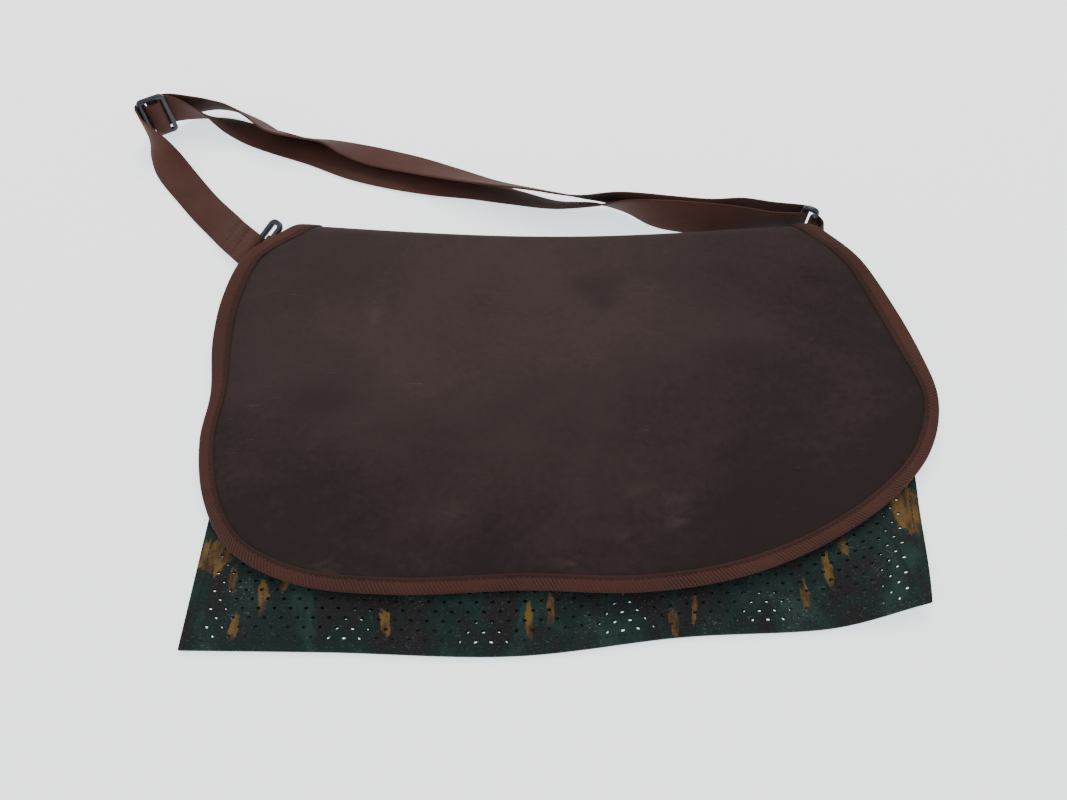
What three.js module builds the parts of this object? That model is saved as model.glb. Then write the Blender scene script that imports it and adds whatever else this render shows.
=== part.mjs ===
// Game bag: a flat mesh pouch under a bound suede flap, with an adjustable webbing shoulder strap.
// It lies on its back. +X runs across the bag, +Y from the pouch's bottom to the fold, +Z up from the table.
import * as THREE from 'three';
import { mergeVertices } from 'three/addons/utils/BufferGeometryUtils.js';

// Thicknesses and clearances, in millimetres
const CLEARANCE = 0.3;
const MESH_CLOTH = 1.2;
const SUEDE = 2;
const WEBBING = { width: 25, thickness: 1.4 };
const TAB_WIDTH = 18;

// Pouch: bottom edge from left to right, with the right corner rucked up off the table
const POUCH_BOTTOM = [
  { x: -206, y: -139 },
  { x: -125, y: -140 },
  { x: -25, y: -142 },
  { x: 65, y: -132 },
  { x: 150, y: -127 },
  { x: 200.5, y: -115.5 },
];
const POUCH_LEFT = { bottom: -206, top: -200, fromY: -139, toY: 128 };
const POUCH_RIGHT = { bottom: 200.5, bulge: 15, fromY: -115.5, toY: 135 };
const MOUTH_Y = 100;
const BACK_TOP_Y = 128;
const PANEL_GRID = { columns: 22, rows: 18 };
const FULLNESS = { height: 11, riseLength: 120, mouthShare: 0.7 };
const CORNER_LIFT = { height: 8, fromX: 140, toX: 200, fromY: -50, toY: -115 };
const TAIL_STEP = { fromY: 74, toY: 88, flatX: 186, endX: 202 };

// Flap: free edge of its front from the left end of the fold round to the right end
const FLAP_EDGE = [
  { x: -185, y: 136 },
  { x: -209, y: 118 },
  { x: -221, y: 88 },
  { x: -223, y: 57 },
  { x: -217, y: 17 },
  { x: -217, y: -16 },
  { x: -206, y: -56 },
  { x: -184, y: -86 },
  { x: -147, y: -104 },
  { x: -93, y: -110 },
  { x: -20, y: -108 },
  { x: 43, y: -109 },
  { x: 97, y: -101 },
  { x: 145, y: -83 },
  { x: 189, y: -56 },
  { x: 220, y: -25 },
  { x: 233, y: 10 },
  { x: 230, y: 43 },
  { x: 221, y: 77 },
  { x: 204, y: 112 },
  { x: 180, y: 136 },
];
const FLAP_CORNERS = { left: 0.335, right: 0.67 };
const FLAP_TAIL = { endY: 106, leftX: -171, rightX: 168 };
const FOLD = { middleY: 133, endRise: 3, halfWidth: 178, flareLeft: 14, flareRight: 12 };
const FOLD_LIFT = { middle: 2.5, end: 15, reach: 55 };
const FLAP_GAP = 2.4;
const RIGHT_EDGE_LIFT = { height: 6, fromX: 150, toX: 232, middleY: 20, reach: 75 };
const BOTTOM_WAVE = { height: 1.2, length: 290, fromY: -50, toY: -105 };
const FLAP_GRID = { columns: 24, tail: 2, fold: 8, front: 16 };

// Binding: a tape folded round the flap's edge
const BINDING = { width: 8.6, thickness: 1, corner: 1.4, slack: 0.8, startRow: 4, foldRows: 3 };
const TAPE_SHOWN = { bottom: 0.88, sideGain: 0.42, sideFrom: 0, sideTo: 60, endLoss: 0.3, endFrom: 95, endTo: 132 };

// Rings: centre line of the wire, standing between strap and tab
const RING = { barSpacing: 8.4, corner: 3.2, wire: 3.8, segments: 36, sides: 8 };
const RING_LEFT = {
  barAt: new THREE.Vector3(-208.7, 135.2, 11.5),
  outward: new THREE.Vector3(-0.72, 0.68, -0.06),
  upBar: new THREE.Vector3(0.57, 0.72, 0.41),
  barLength: 42,
  strapShift: -5.5,
};
const RING_RIGHT = {
  barAt: new THREE.Vector3(172.8, 154.9, 16.6),
  outward: new THREE.Vector3(-0.88, 0.47, 0),
  upBar: new THREE.Vector3(-0.25, -0.15, 0.96),
  barLength: 30,
};
const TABS = {
  left: { base: new THREE.Vector3(-179, 109, 5.4), toBar: new THREE.Vector3(-0.75, 0.66, 0), drop: -2 },
  right: { base: new THREE.Vector3(172, 107, 5.7), toBar: new THREE.Vector3(0, 1, 0), drop: 2.5 },
  twist: { from: 0.35, to: 0.95 },
  shares: [0, 0.2, 0.4, 0.6, 0.8],
};

// Adjuster: a three-bar slide standing on edge, with the strap woven through it
const SLIDE = {
  centre: new THREE.Vector3(-304, 258.5, 17.4),
  towardRing: new THREE.Vector3(0.865, 0.5, 0),
  halfDepth: 10.6,
  halfHeight: 17,
  thickness: 3,
  barHalf: 1.5,
  slotOuter: 7.2,
  slotHalfHeight: { atMiddle: 12.9, atEnd: 13.2 },
  corner: 3,
};

// Strap: routes between the hard pieces. Tilt turns the webbing about its run: 90 is on edge, 0 or 180 flat.
const BAND_STEPS = 2;
const STRAP_END = { length: 28, closed: 1, closingLength: 17, stations: [5, 11, 18] };
const STRAP_TURNS = {
  leftRing: { from: 270, to: 90, steps: 4 },
  overSlide: { from: 150, to: 30, steps: 3, radius: 5.1 },
  rightRing: { from: 115, to: 295, steps: 6 },
  roundSlide: { from: -95, to: -350, steps: 6, radius: 3.1 },
  tab: { from: -90, to: 90, steps: 4 },
};
// Places in the slide's own plane: along it toward the right ring, and toward its front.
const SLIDE_ENTRY = [
  { along: -12.3, front: 5 },
  { along: -12.3, front: 0.5 },
  { along: -10.6, front: -3.1 },
  { along: -8.2, front: -2.8 },
  { along: -5.7, front: -1.8 },
];
const SLIDE_EXIT = [
  { along: 5.7, front: -1.8 },
  { along: 8.2, front: -2.8 },
  { along: 10.6, front: -2.8 },
];
const SLIDE_RETURN = [
  { along: 10.6, front: -4.8 },
  { along: 6, front: -4.8 },
  { along: 3, front: -4.3 },
];
const SINGLE_RUN = [
  { x: -239, y: 159.5, z: 4, tilt: 168 },
  { x: -256, y: 178, z: 1.6, tilt: 178 },
  { x: -271, y: 195.5, z: 1.4, tilt: 180 },
  { x: -286, y: 213, z: 4, tilt: 165 },
  { x: -298, y: 228, z: 11, tilt: 128 },
  { x: -307, y: 240, z: 16.4, tilt: 96 },
];
const NEAR_RUN = [
  { x: -283, y: 267.5, z: 14.4, tilt: 110 },
  { x: -267, y: 265.5, z: 10.5, tilt: 132 },
  { x: -251, y: 261, z: 5.5, tilt: 158 },
  { x: -233, y: 254, z: 2.5, tilt: 172 },
  { x: -213, y: 246.5, z: 1.6, tilt: 178 },
  { x: -183, y: 235, z: 1.4, tilt: 180 },
  { x: -150, y: 219.5, z: 1.4, tilt: 180 },
  { x: -119, y: 210, z: 1.4, tilt: 180 },
  { x: -89, y: 203, z: 1.8, tilt: 178 },
  { x: -59, y: 195.5, z: 3.6, tilt: 170 },
  { x: -30, y: 184.5, z: 6.6, tilt: 158 },
  { x: 0, y: 174.5, z: 9.4, tilt: 146 },
  { x: 29, y: 173, z: 11.2, tilt: 138 },
  { x: 50, y: 170, z: 12.4, tilt: 116 },
  { x: 71, y: 163, z: 12.9, tilt: 86 },
  { x: 88, y: 159, z: 14, tilt: 74 },
  { x: 108, y: 155.6, z: 15, tilt: 72 },
  { x: 130, y: 153.2, z: 16.2, tilt: 86 },
  { x: 150, y: 151.6, z: 16.8, tilt: 102 },
];
const FAR_RUN = [
  { x: 150, y: 160, z: 17.2, tilt: 80 },
  { x: 130, y: 162.3, z: 17.4, tilt: 86 },
  { x: 110, y: 159.8, z: 15.4, tilt: 104 },
  { x: 88, y: 163, z: 14, tilt: 105 },
  { x: 65, y: 168, z: 13.6, tilt: 96 },
  { x: 40, y: 176, z: 14.6, tilt: 64 },
  { x: 15, y: 176.5, z: 16, tilt: 47 },
  { x: -15, y: 183.5, z: 15.5, tilt: 44 },
  { x: -45, y: 191.5, z: 14, tilt: 38 },
  { x: -75, y: 203.5, z: 11, tilt: 26 },
  { x: -105, y: 216, z: 8, tilt: 16 },
  { x: -135, y: 226, z: 6.8, tilt: 13 },
  { x: -155, y: 233.5, z: 7, tilt: 22 },
  { x: -172, y: 240, z: 8.6, tilt: 38 },
  { x: -192, y: 243, z: 9.6, tilt: 44 },
  { x: -214, y: 248, z: 11, tilt: 46 },
  { x: -232, y: 261.5, z: 12, tilt: 50 },
  { x: -249, y: 271.5, z: 13, tilt: 54 },
  { x: -265, y: 275.5, z: 13.8, tilt: 56 },
  { x: -281, y: 273.5, z: 15.4, tilt: 68 },
];

const FINISH = {
  mesh: { color: 0x2b3939, roughness: 0.85, metalness: 0 },
  suede: { color: 0x3d302e, roughness: 0.95, metalness: 0 },
  tape: { color: 0x52332c, roughness: 0.85, metalness: 0 },
  webbing: { color: 0x54362f, roughness: 0.85, metalness: 0 },
  plastic: { color: 0x282c3a, roughness: 0.35, metalness: 0 },
};

const UP = new THREE.Vector3(0, 0, 1);
const lerp = THREE.MathUtils.lerp;
const ramp = (value, from, to) => THREE.MathUtils.smoothstep((value - from) / (to - from), 0, 1);

// Geometry helpers

// Moves every corner of a closed geometry by the function place and joins shared corners.
function reshape(geometry, place) {
  geometry.deleteAttribute('normal');
  geometry.deleteAttribute('uv');
  const shaped = mergeVertices(geometry);
  const position = shaped.getAttribute('position');
  const corner = new THREE.Vector3();
  for (let i = 0; i < position.count; i += 1) {
    const placed = place(corner.fromBufferAttribute(position, i));
    position.setXYZ(i, placed.x, placed.y, placed.z);
  }
  shaped.computeVertexNormals();
  return shaped;
}

// A sheet of even thickness on both sides of a surface of u and v from 0 to 1.
function sheet(columns, rows, thickness, surface, normal) {
  return reshape(new THREE.BoxGeometry(1, 1, 1, columns, rows, 1), (corner) => {
    const u = corner.x + 0.5;
    const v = corner.y + 0.5;
    return surface(u, v).addScaledVector(normal(u, v), corner.z * thickness);
  });
}

// Normal of a surface of u and v, from small steps along both.
function slopeNormal(surface) {
  const step = 0.002;
  return (u, v) => {
    const alongU = surface(Math.min(u + step, 1), v).sub(surface(Math.max(u - step, 0), v));
    const alongV = surface(u, Math.min(v + step, 1)).sub(surface(u, Math.max(v - step, 0)));
    return alongU.cross(alongV).normalize();
  };
}

// A flat band along control points, each with its place and either its across direction or its tilt.
function band(controls, width, thickness) {
  const places = controls.map((control) => control.at);
  const path = new THREE.CatmullRomCurve3(places);
  const acrosses = controls.map((control, i) => {
    if (control.across) return control.across;
    const heading = places[i + 1].clone().sub(places[i - 1]).setZ(0).normalize();
    const left = UP.clone().cross(heading);
    const tilt = THREE.MathUtils.degToRad(control.tilt);
    return left.multiplyScalar(Math.cos(tilt)).addScaledVector(UP, Math.sin(tilt));
  });
  const turning = new THREE.CatmullRomCurve3(acrosses, false, 'catmullrom', 0.5);
  const steps = (controls.length - 1) * BAND_STEPS;
  return reshape(new THREE.BoxGeometry(1, 1, 1, 1, steps, 1), (corner) => {
    const t = corner.y + 0.5;
    const along = path.getTangent(t);
    const across = turning.getPoint(t);
    across.addScaledVector(along, -across.dot(along)).normalize();
    const normal = across.clone().cross(along);
    return path.getPoint(t)
      .addScaledVector(across, corner.x * width)
      .addScaledVector(normal, corner.z * thickness);
  });
}

// Control points on part of a circle round a bar, the band's width along that bar.
function roundBar(barAt, { first, second, bar }, radius, { from, to, steps }) {
  return Array.from({ length: steps + 1 }, (unused, i) => {
    const angle = THREE.MathUtils.degToRad(lerp(from, to, i / steps));
    const at = barAt.clone()
      .addScaledVector(first, radius * Math.cos(angle))
      .addScaledVector(second, radius * Math.sin(angle));
    return { at, across: bar };
  });
}

function mesh(name, geometry, finish) {
  const piece = new THREE.Mesh(geometry, new THREE.MeshStandardMaterial(finish));
  piece.name = name;
  return piece;
}

// Pouch

const pouchBottom = new THREE.CatmullRomCurve3(POUCH_BOTTOM.map(({ x, y }) => new THREE.Vector3(x, y, 0)));

function pouchLeft(y) {
  const share = (y - POUCH_LEFT.fromY) / (POUCH_LEFT.toY - POUCH_LEFT.fromY);
  return lerp(POUCH_LEFT.bottom, POUCH_LEFT.top, share);
}

function pouchRight(y) {
  const share = THREE.MathUtils.clamp((y - POUCH_RIGHT.fromY) / (POUCH_RIGHT.toY - POUCH_RIGHT.fromY), 0, 1);
  return POUCH_RIGHT.bottom + POUCH_RIGHT.bulge * Math.sin(Math.PI * share);
}

// Height of the back panel's middle: flat on the table, over the flap's tail and up at the rucked corner.
function backHeight(x, y) {
  const overTail = ramp(y, TAIL_STEP.fromY, TAIL_STEP.toY);
  const insideTail = 1 - ramp(Math.abs(x), TAIL_STEP.flatX, TAIL_STEP.endX);
  const acrossCorner = ramp(x, CORNER_LIFT.fromX, CORNER_LIFT.toX);
  const alongCorner = ramp(y, CORNER_LIFT.fromY, CORNER_LIFT.toY);
  return MESH_CLOTH / 2
    + (SUEDE + CLEARANCE) * overTail * insideTail
    + CORNER_LIFT.height * acrossCorner * alongCorner;
}

// Height of the hollow under the front panel, none at the side and bottom seams.
function fullness(x, y) {
  const across = THREE.MathUtils.clamp((x - pouchLeft(y)) / (pouchRight(y) - pouchLeft(y)), 0, 1);
  const bottomY = pouchBottom.getPoint(across).y;
  const rise = THREE.MathUtils.clamp((y - bottomY) / FULLNESS.riseLength, 0, 1);
  const mouthShare = lerp(1, FULLNESS.mouthShare, ramp(y, 0, MOUTH_Y));
  return FULLNESS.height * (1 - Math.abs(2 * across - 1) ** 3) * (1 - (1 - rise) ** 2) * mouthShare;
}

function frontHeight(x, y) {
  return backHeight(x, y) + MESH_CLOTH + CLEARANCE + fullness(x, y);
}

// A pouch wall up to topY at the given height.
function pouchWall(topY, height) {
  const surface = (u, v) => {
    const bottom = pouchBottom.getPoint(u);
    const y = lerp(bottom.y, topY, v);
    const share = (bottom.x - POUCH_LEFT.bottom) / (POUCH_RIGHT.bottom - POUCH_LEFT.bottom);
    const x = lerp(pouchLeft(y), pouchRight(y), share);
    return new THREE.Vector3(x, y, height(x, y));
  };
  return sheet(PANEL_GRID.columns, PANEL_GRID.rows, MESH_CLOTH, surface, slopeNormal(surface));
}

// Flap

const flapEdge = new THREE.CatmullRomCurve3(FLAP_EDGE.map(({ x, y }) => new THREE.Vector3(x, y, 0)));

function foldY(x) {
  return FOLD.middleY + FOLD.endRise * (x / FOLD.halfWidth) ** 2;
}

// Height of the flap's middle over the pouch: raised at the fold and the right edge, waved at the bottom.
function flapHeight(x, y) {
  const end = Math.min((x / FOLD.halfWidth) ** 2, 1);
  const nearFold = Math.exp(-(((foldY(x) - y) / FOLD_LIFT.reach) ** 2));
  const nearRight = Math.exp(-(((y - RIGHT_EDGE_LIFT.middleY) / RIGHT_EDGE_LIFT.reach) ** 2));
  const wave = Math.sin((2 * Math.PI * x) / BOTTOM_WAVE.length) + 1;
  return frontHeight(x, Math.min(y, TAIL_STEP.fromY)) + MESH_CLOTH / 2 + FLAP_GAP + SUEDE / 2
    + lerp(FOLD_LIFT.middle, FOLD_LIFT.end, end) * nearFold
    + RIGHT_EDGE_LIFT.height * ramp(x, RIGHT_EDGE_LIFT.fromX, RIGHT_EDGE_LIFT.toX) * nearRight
    + BOTTOM_WAVE.height * wave * ramp(y, BOTTOM_WAVE.fromY, BOTTOM_WAVE.toY);
}

// Place on the flap's front from the four curves round it, u across and v from the fold to the bottom.
function flapFront(u, v) {
  const { left, right } = FLAP_CORNERS;
  const start = flapEdge.getPointAt(0);
  const finish = flapEdge.getPointAt(1);
  const lowLeft = flapEdge.getPointAt(left);
  const lowRight = flapEdge.getPointAt(right);
  const x = lerp(start.x, finish.x, u);
  const top = new THREE.Vector3(x, foldY(x), 0);
  const sides = flapEdge.getPointAt(left * v).lerp(flapEdge.getPointAt(1 - (1 - right) * v), u);
  const ends = top.lerp(flapEdge.getPointAt(lerp(left, right, u)), v);
  const corners = start.lerp(finish, u).lerp(lowLeft.lerp(lowRight, u), v);
  const place = ends.add(sides).sub(corners);
  return place.setZ(flapHeight(place.x, place.y));
}

// Place on the tail and the fold, row 0 at the tail's end and the fold's turn after it.
function flapBack(u, row) {
  const turn = Math.PI * (1 - Math.max(row - FLAP_GRID.tail, 0) / FLAP_GRID.fold);
  const flare = 1 - Math.sin(Math.min(turn, Math.PI / 2));
  const leftX = FLAP_TAIL.leftX - FOLD.flareLeft * flare;
  const rightX = FLAP_TAIL.rightX + FOLD.flareRight * flare;
  const x = lerp(leftX, rightX, u);
  const tailShare = Math.min(row / FLAP_GRID.tail, 1);
  const tailHeight = SUEDE / 2;
  const radius = (flapHeight(x, foldY(x)) - tailHeight) / 2;
  const y = lerp(FLAP_TAIL.endY, foldY(x), tailShare) + radius * Math.sin(turn);
  return new THREE.Vector3(x, y, tailHeight + radius * (1 + Math.cos(turn)));
}

const FLAP_ROWS = FLAP_GRID.tail + FLAP_GRID.fold + FLAP_GRID.front;

function flapSurface(u, v) {
  const row = v * FLAP_ROWS;
  const backRows = FLAP_GRID.tail + FLAP_GRID.fold;
  return row < backRows ? flapBack(u, row) : flapFront(u, Math.min((row - backRows) / FLAP_GRID.front, 1));
}

const backNormal = slopeNormal(flapSurface);

// Upward normal of the flap's front over a place on the table.
function frontNormal(x, y) {
  const step = 0.5;
  const slopeX = (flapHeight(x + step, y) - flapHeight(x - step, y)) / (2 * step);
  const slopeY = (flapHeight(x, y + step) - flapHeight(x, y - step)) / (2 * step);
  return new THREE.Vector3(-slopeX, -slopeY, 1).normalize();
}

// The suede's outer side: by slope on the front, by steps round the fold and under the tail.
function flapNormal(u, v) {
  if (v * FLAP_ROWS < FLAP_GRID.tail + FLAP_GRID.fold) return backNormal(u, v).negate();
  const { x, y } = flapSurface(u, v);
  return frontNormal(x, y);
}

function flap() {
  const inward = (u, v) => flapNormal(u, v).negate();
  return sheet(FLAP_GRID.columns, FLAP_ROWS, SUEDE, flapSurface, inward);
}

// Parameters of points along the flap's free edge, from behind the fold's left end to behind its right end.
function freeEdge() {
  const points = [];
  for (let row = BINDING.startRow; row < FLAP_ROWS; row += 1) {
    points.push({ u: 0, v: row / FLAP_ROWS });
  }
  for (let column = 0; column <= FLAP_GRID.columns; column += 1) {
    points.push({ u: column / FLAP_GRID.columns, v: 1 });
  }
  for (let row = FLAP_ROWS - 1; row >= BINDING.startRow; row -= 1) {
    points.push({ u: 1, v: row / FLAP_ROWS });
  }
  return points;
}

// U-shaped section of the tape: x from the suede's edge inward, y through the suede.
function bindingSection() {
  const inner = SUEDE / 2 + BINDING.slack;
  const outer = inner + BINDING.thickness;
  const inEnd = -BINDING.slack;
  const outEnd = inEnd - BINDING.thickness;
  return new THREE.Shape([
    new THREE.Vector2(BINDING.width, outer),
    new THREE.Vector2(outEnd + BINDING.corner, outer),
    new THREE.Vector2(outEnd, outer - BINDING.corner),
    new THREE.Vector2(outEnd, BINDING.corner - outer),
    new THREE.Vector2(outEnd + BINDING.corner, -outer),
    new THREE.Vector2(BINDING.width, -outer),
    new THREE.Vector2(BINDING.width, -inner),
    new THREE.Vector2(inEnd, -inner),
    new THREE.Vector2(inEnd, inner),
    new THREE.Vector2(BINDING.width, inner),
  ]);
}

// Width of tape shown on the suede: more of it along the flap's sides than at the bottom and the fold's ends.
function tapeShown(y) {
  const side = ramp(y, TAPE_SHOWN.sideFrom, TAPE_SHOWN.sideTo);
  const end = ramp(y, TAPE_SHOWN.endFrom, TAPE_SHOWN.endTo);
  return BINDING.width * (TAPE_SHOWN.bottom + TAPE_SHOWN.sideGain * side - TAPE_SHOWN.endLoss * end);
}

// Place of the tape's lip, a width inward on the suede: along its rows near the fold, over its front below.
function lipAt({ u, v }, edgeAt, inward) {
  const shown = tapeShown(edgeAt.y);
  if (v * FLAP_ROWS > FLAP_GRID.tail + FLAP_GRID.fold + BINDING.foldRows) {
    const place = edgeAt.clone().addScaledVector(inward, shown);
    place.setZ(flapHeight(place.x, place.y));
    return { place, normal: frontNormal(place.x, place.y) };
  }
  const innerU = Math.abs(u - 1 / FLAP_GRID.columns);
  const toInner = flapSurface(innerU, v).sub(edgeAt);
  const share = shown / toInner.dot(inward);
  return { place: edgeAt.clone().addScaledVector(toInner, share), normal: flapNormal(innerU, v) };
}

function flapBinding() {
  const edge = freeEdge();
  const steps = edge.length - 1;
  const places = edge.map(({ u, v }) => flapSurface(u, v));
  const stations = edge.map(({ u, v }, i) => {
    const normal = flapNormal(u, v);
    const along = places[Math.min(i + 1, steps)].clone().sub(places[Math.max(i - 1, 0)]).normalize();
    const inward = normal.clone().cross(along).normalize();
    return { place: places[i], normal, inward, lip: lipAt({ u, v }, places[i], inward) };
  });
  const section = new THREE.ExtrudeGeometry(bindingSection(), { depth: 1, steps, bevelEnabled: false });
  return reshape(section, (corner) => {
    const { place, normal, inward, lip } = stations[Math.round(corner.z * steps)];
    const share = Math.max(corner.x, 0) / BINDING.width;
    const turned = normal.clone().lerp(lip.normal, share).normalize();
    return place.clone().lerp(lip.place, share)
      .addScaledVector(inward, Math.min(corner.x, 0))
      .addScaledVector(turned, corner.y);
  });
}

// Rings and tabs

function ringAxes({ outward, upBar }) {
  const first = outward.clone().normalize();
  const bar = upBar.clone().addScaledVector(first, -upBar.dot(first)).normalize();
  return { first, second: bar.clone().cross(first), bar };
}

const WRAP_RADIUS = RING.wire / 2 + CLEARANCE + WEBBING.thickness / 2;

function ring(name, place) {
  const halfX = RING.barSpacing / 2;
  const halfZ = place.barLength / 2;
  const bend = RING.corner;
  const loop = new THREE.CurvePath();
  const signs = [[1, 1], [-1, 1], [-1, -1], [1, -1]];
  signs.forEach(([signX, signZ], i) => {
    const corner = new THREE.Vector3(signX * halfX, 0, signZ * halfZ);
    const [nextX, nextZ] = signs[(i + 1) % signs.length];
    const next = new THREE.Vector3(nextX * halfX, 0, nextZ * halfZ);
    const [afterX, afterZ] = signs[(i + 2) % signs.length];
    const after = new THREE.Vector3(afterX * halfX, 0, afterZ * halfZ);
    const straight = next.clone().sub(corner).normalize().multiplyScalar(bend);
    const turned = after.clone().sub(next).normalize().multiplyScalar(bend);
    const bendStart = next.clone().sub(straight);
    loop.add(new THREE.LineCurve3(corner.add(straight), bendStart));
    loop.add(new THREE.QuadraticBezierCurve3(bendStart, next, next.clone().add(turned)));
  });
  const wire = new THREE.TubeGeometry(loop, RING.segments, RING.wire / 2, RING.sides, true);
  const piece = mesh(name, reshape(wire, (corner) => corner), FINISH.plastic);
  const { first, second, bar } = ringAxes(place);
  piece.quaternion.setFromRotationMatrix(new THREE.Matrix4().makeBasis(first, second, bar));
  piece.position.copy(place.barAt).addScaledVector(first, -halfX);
  return piece;
}

// A tab: two layers from its sewn base to the ring's inner bar, folded round that bar.
function tab({ base, toBar, drop }, place) {
  const axes = ringAxes(place);
  const { first, second, bar } = axes;
  const barAt = place.barAt.clone().addScaledVector(first, -RING.barSpacing).addScaledVector(bar, -drop);
  const flat = toBar.clone().cross(UP).normalize();
  if (flat.dot(bar) < 0) flat.negate();
  const reach = base.distanceTo(barAt) / 3;
  const middle = new THREE.CubicBezierCurve3(
    base,
    base.clone().addScaledVector(toBar, reach),
    barAt.clone().addScaledVector(first, -reach),
    barAt,
  );
  const layerAt = (share, side) => {
    const across = flat.clone().lerp(bar, ramp(share, TABS.twist.from, TABS.twist.to)).normalize();
    const up = middle.getTangent(share).cross(across).normalize();
    if (up.dot(share < 0.5 ? UP : second) < 0) up.negate();
    const apart = lerp(WEBBING.thickness / 2 + CLEARANCE / 2, WRAP_RADIUS, share);
    return { at: middle.getPoint(share).addScaledVector(up, side * apart), across };
  };
  const turn = roundBar(barAt, axes, WRAP_RADIUS, STRAP_TURNS.tab);
  const lower = TABS.shares.map((share) => layerAt(share, -1));
  const upper = TABS.shares.map((share) => layerAt(share, 1)).reverse();
  return band([...lower, ...turn, ...upper], TAB_WIDTH, WEBBING.thickness);
}

// Adjuster and strap

const slideAxes = {
  first: SLIDE.towardRing.clone().normalize(),
  second: SLIDE.towardRing.clone().normalize().cross(UP),
  bar: UP,
};

// A rectangle round the origin with its corners cut off.
function cutCornered(halfX, halfY, cut) {
  const outline = [];
  for (const [signX, signY, order] of [[1, -1, 1], [1, 1, -1], [-1, 1, 1], [-1, -1, -1]]) {
    const along = new THREE.Vector2(signX * (halfX - cut), signY * halfY);
    const up = new THREE.Vector2(signX * halfX, signY * (halfY - cut));
    outline.push(...(order > 0 ? [along, up] : [up, along]));
  }
  return new THREE.Shape(outline);
}

function adjuster() {
  const outline = cutCornered(SLIDE.halfDepth, SLIDE.halfHeight, SLIDE.corner);
  for (const side of [-1, 1]) {
    const near = side * SLIDE.barHalf;
    const far = side * SLIDE.slotOuter;
    const { atMiddle, atEnd } = SLIDE.slotHalfHeight;
    outline.holes.push(new THREE.Path([
      new THREE.Vector2(near, -atMiddle),
      new THREE.Vector2(near, atMiddle),
      new THREE.Vector2(far, atEnd),
      new THREE.Vector2(far, -atEnd),
    ]));
  }
  const plate = new THREE.ExtrudeGeometry(outline, { depth: SLIDE.thickness, bevelEnabled: false });
  plate.translate(0, 0, -SLIDE.thickness / 2);
  const piece = mesh('adjuster', reshape(plate, (corner) => corner), FINISH.plastic);
  const { first, second, bar } = slideAxes;
  piece.quaternion.setFromRotationMatrix(new THREE.Matrix4().makeBasis(first, bar, second));
  piece.position.copy(SLIDE.centre);
  return piece;
}

// Control points from places in the slide's own plane, with the webbing on edge.
function atSlide(places) {
  return places.map(({ along, front }) => ({
    at: SLIDE.centre.clone().addScaledVector(slideAxes.first, along).addScaledVector(slideAxes.second, front),
    across: UP,
  }));
}

function run(rows) {
  return rows.map(({ x, y, z, tilt }) => ({ at: new THREE.Vector3(x, y, z), tilt }));
}

function strap() {
  const left = ringAxes(RING_LEFT);
  const right = ringAxes(RING_RIGHT);
  const leftAt = RING_LEFT.barAt.clone().addScaledVector(left.bar, RING_LEFT.strapShift);
  const endLayer = (distance, side) => {
    const apart = lerp(WRAP_RADIUS, STRAP_END.closed, ramp(distance, 0, STRAP_END.closingLength));
    const at = leftAt.clone()
      .addScaledVector(left.first, distance)
      .addScaledVector(left.second, side * apart);
    return { at, across: left.bar };
  };
  const { stations, length } = STRAP_END;
  const endTail = [...stations, length].reverse().map((distance) => endLayer(distance, -1));
  const endMain = stations.map((distance) => endLayer(distance, 1));
  const { leftRing, overSlide, rightRing, roundSlide } = STRAP_TURNS;
  const controls = [
    ...endTail,
    ...roundBar(leftAt, left, WRAP_RADIUS, leftRing),
    ...endMain,
    ...run(SINGLE_RUN),
    ...atSlide(SLIDE_ENTRY),
    ...roundBar(SLIDE.centre, slideAxes, overSlide.radius, overSlide),
    ...atSlide(SLIDE_EXIT),
    ...run(NEAR_RUN),
    ...roundBar(RING_RIGHT.barAt, right, WRAP_RADIUS, rightRing),
    ...run(FAR_RUN),
    ...atSlide(SLIDE_RETURN),
    ...roundBar(SLIDE.centre, slideAxes, roundSlide.radius, roundSlide),
  ];
  return band(controls, WEBBING.width, WEBBING.thickness);
}

// Assembly

const bag = new THREE.Group();
bag.add(
  mesh('back_panel', pouchWall(BACK_TOP_Y, backHeight), FINISH.mesh),
  mesh('front_panel', pouchWall(MOUTH_Y, frontHeight), FINISH.mesh),
  mesh('flap', flap(), FINISH.suede),
  mesh('flap_binding', flapBinding(), FINISH.tape),
  ring('ring_left', RING_LEFT),
  ring('ring_right', RING_RIGHT),
  mesh('tab_left', tab(TABS.left, RING_LEFT), FINISH.webbing),
  mesh('tab_right', tab(TABS.right, RING_RIGHT), FINISH.webbing),
  adjuster(),
  mesh('strap', strap(), FINISH.webbing),
);

export default bag;
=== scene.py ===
"""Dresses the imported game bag: perforated pouch, bound suede flap, webbing strap and plastic hardware.

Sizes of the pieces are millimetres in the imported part's frame, and meshes are written in metres. In the
finishes a scale is a number of pattern cells in a metre, and bounds are the two values between which a layer
fades in.
"""

import logging
import math
from dataclasses import dataclass
from enum import Enum
from typing import Callable, Optional, Sequence, Union

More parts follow.
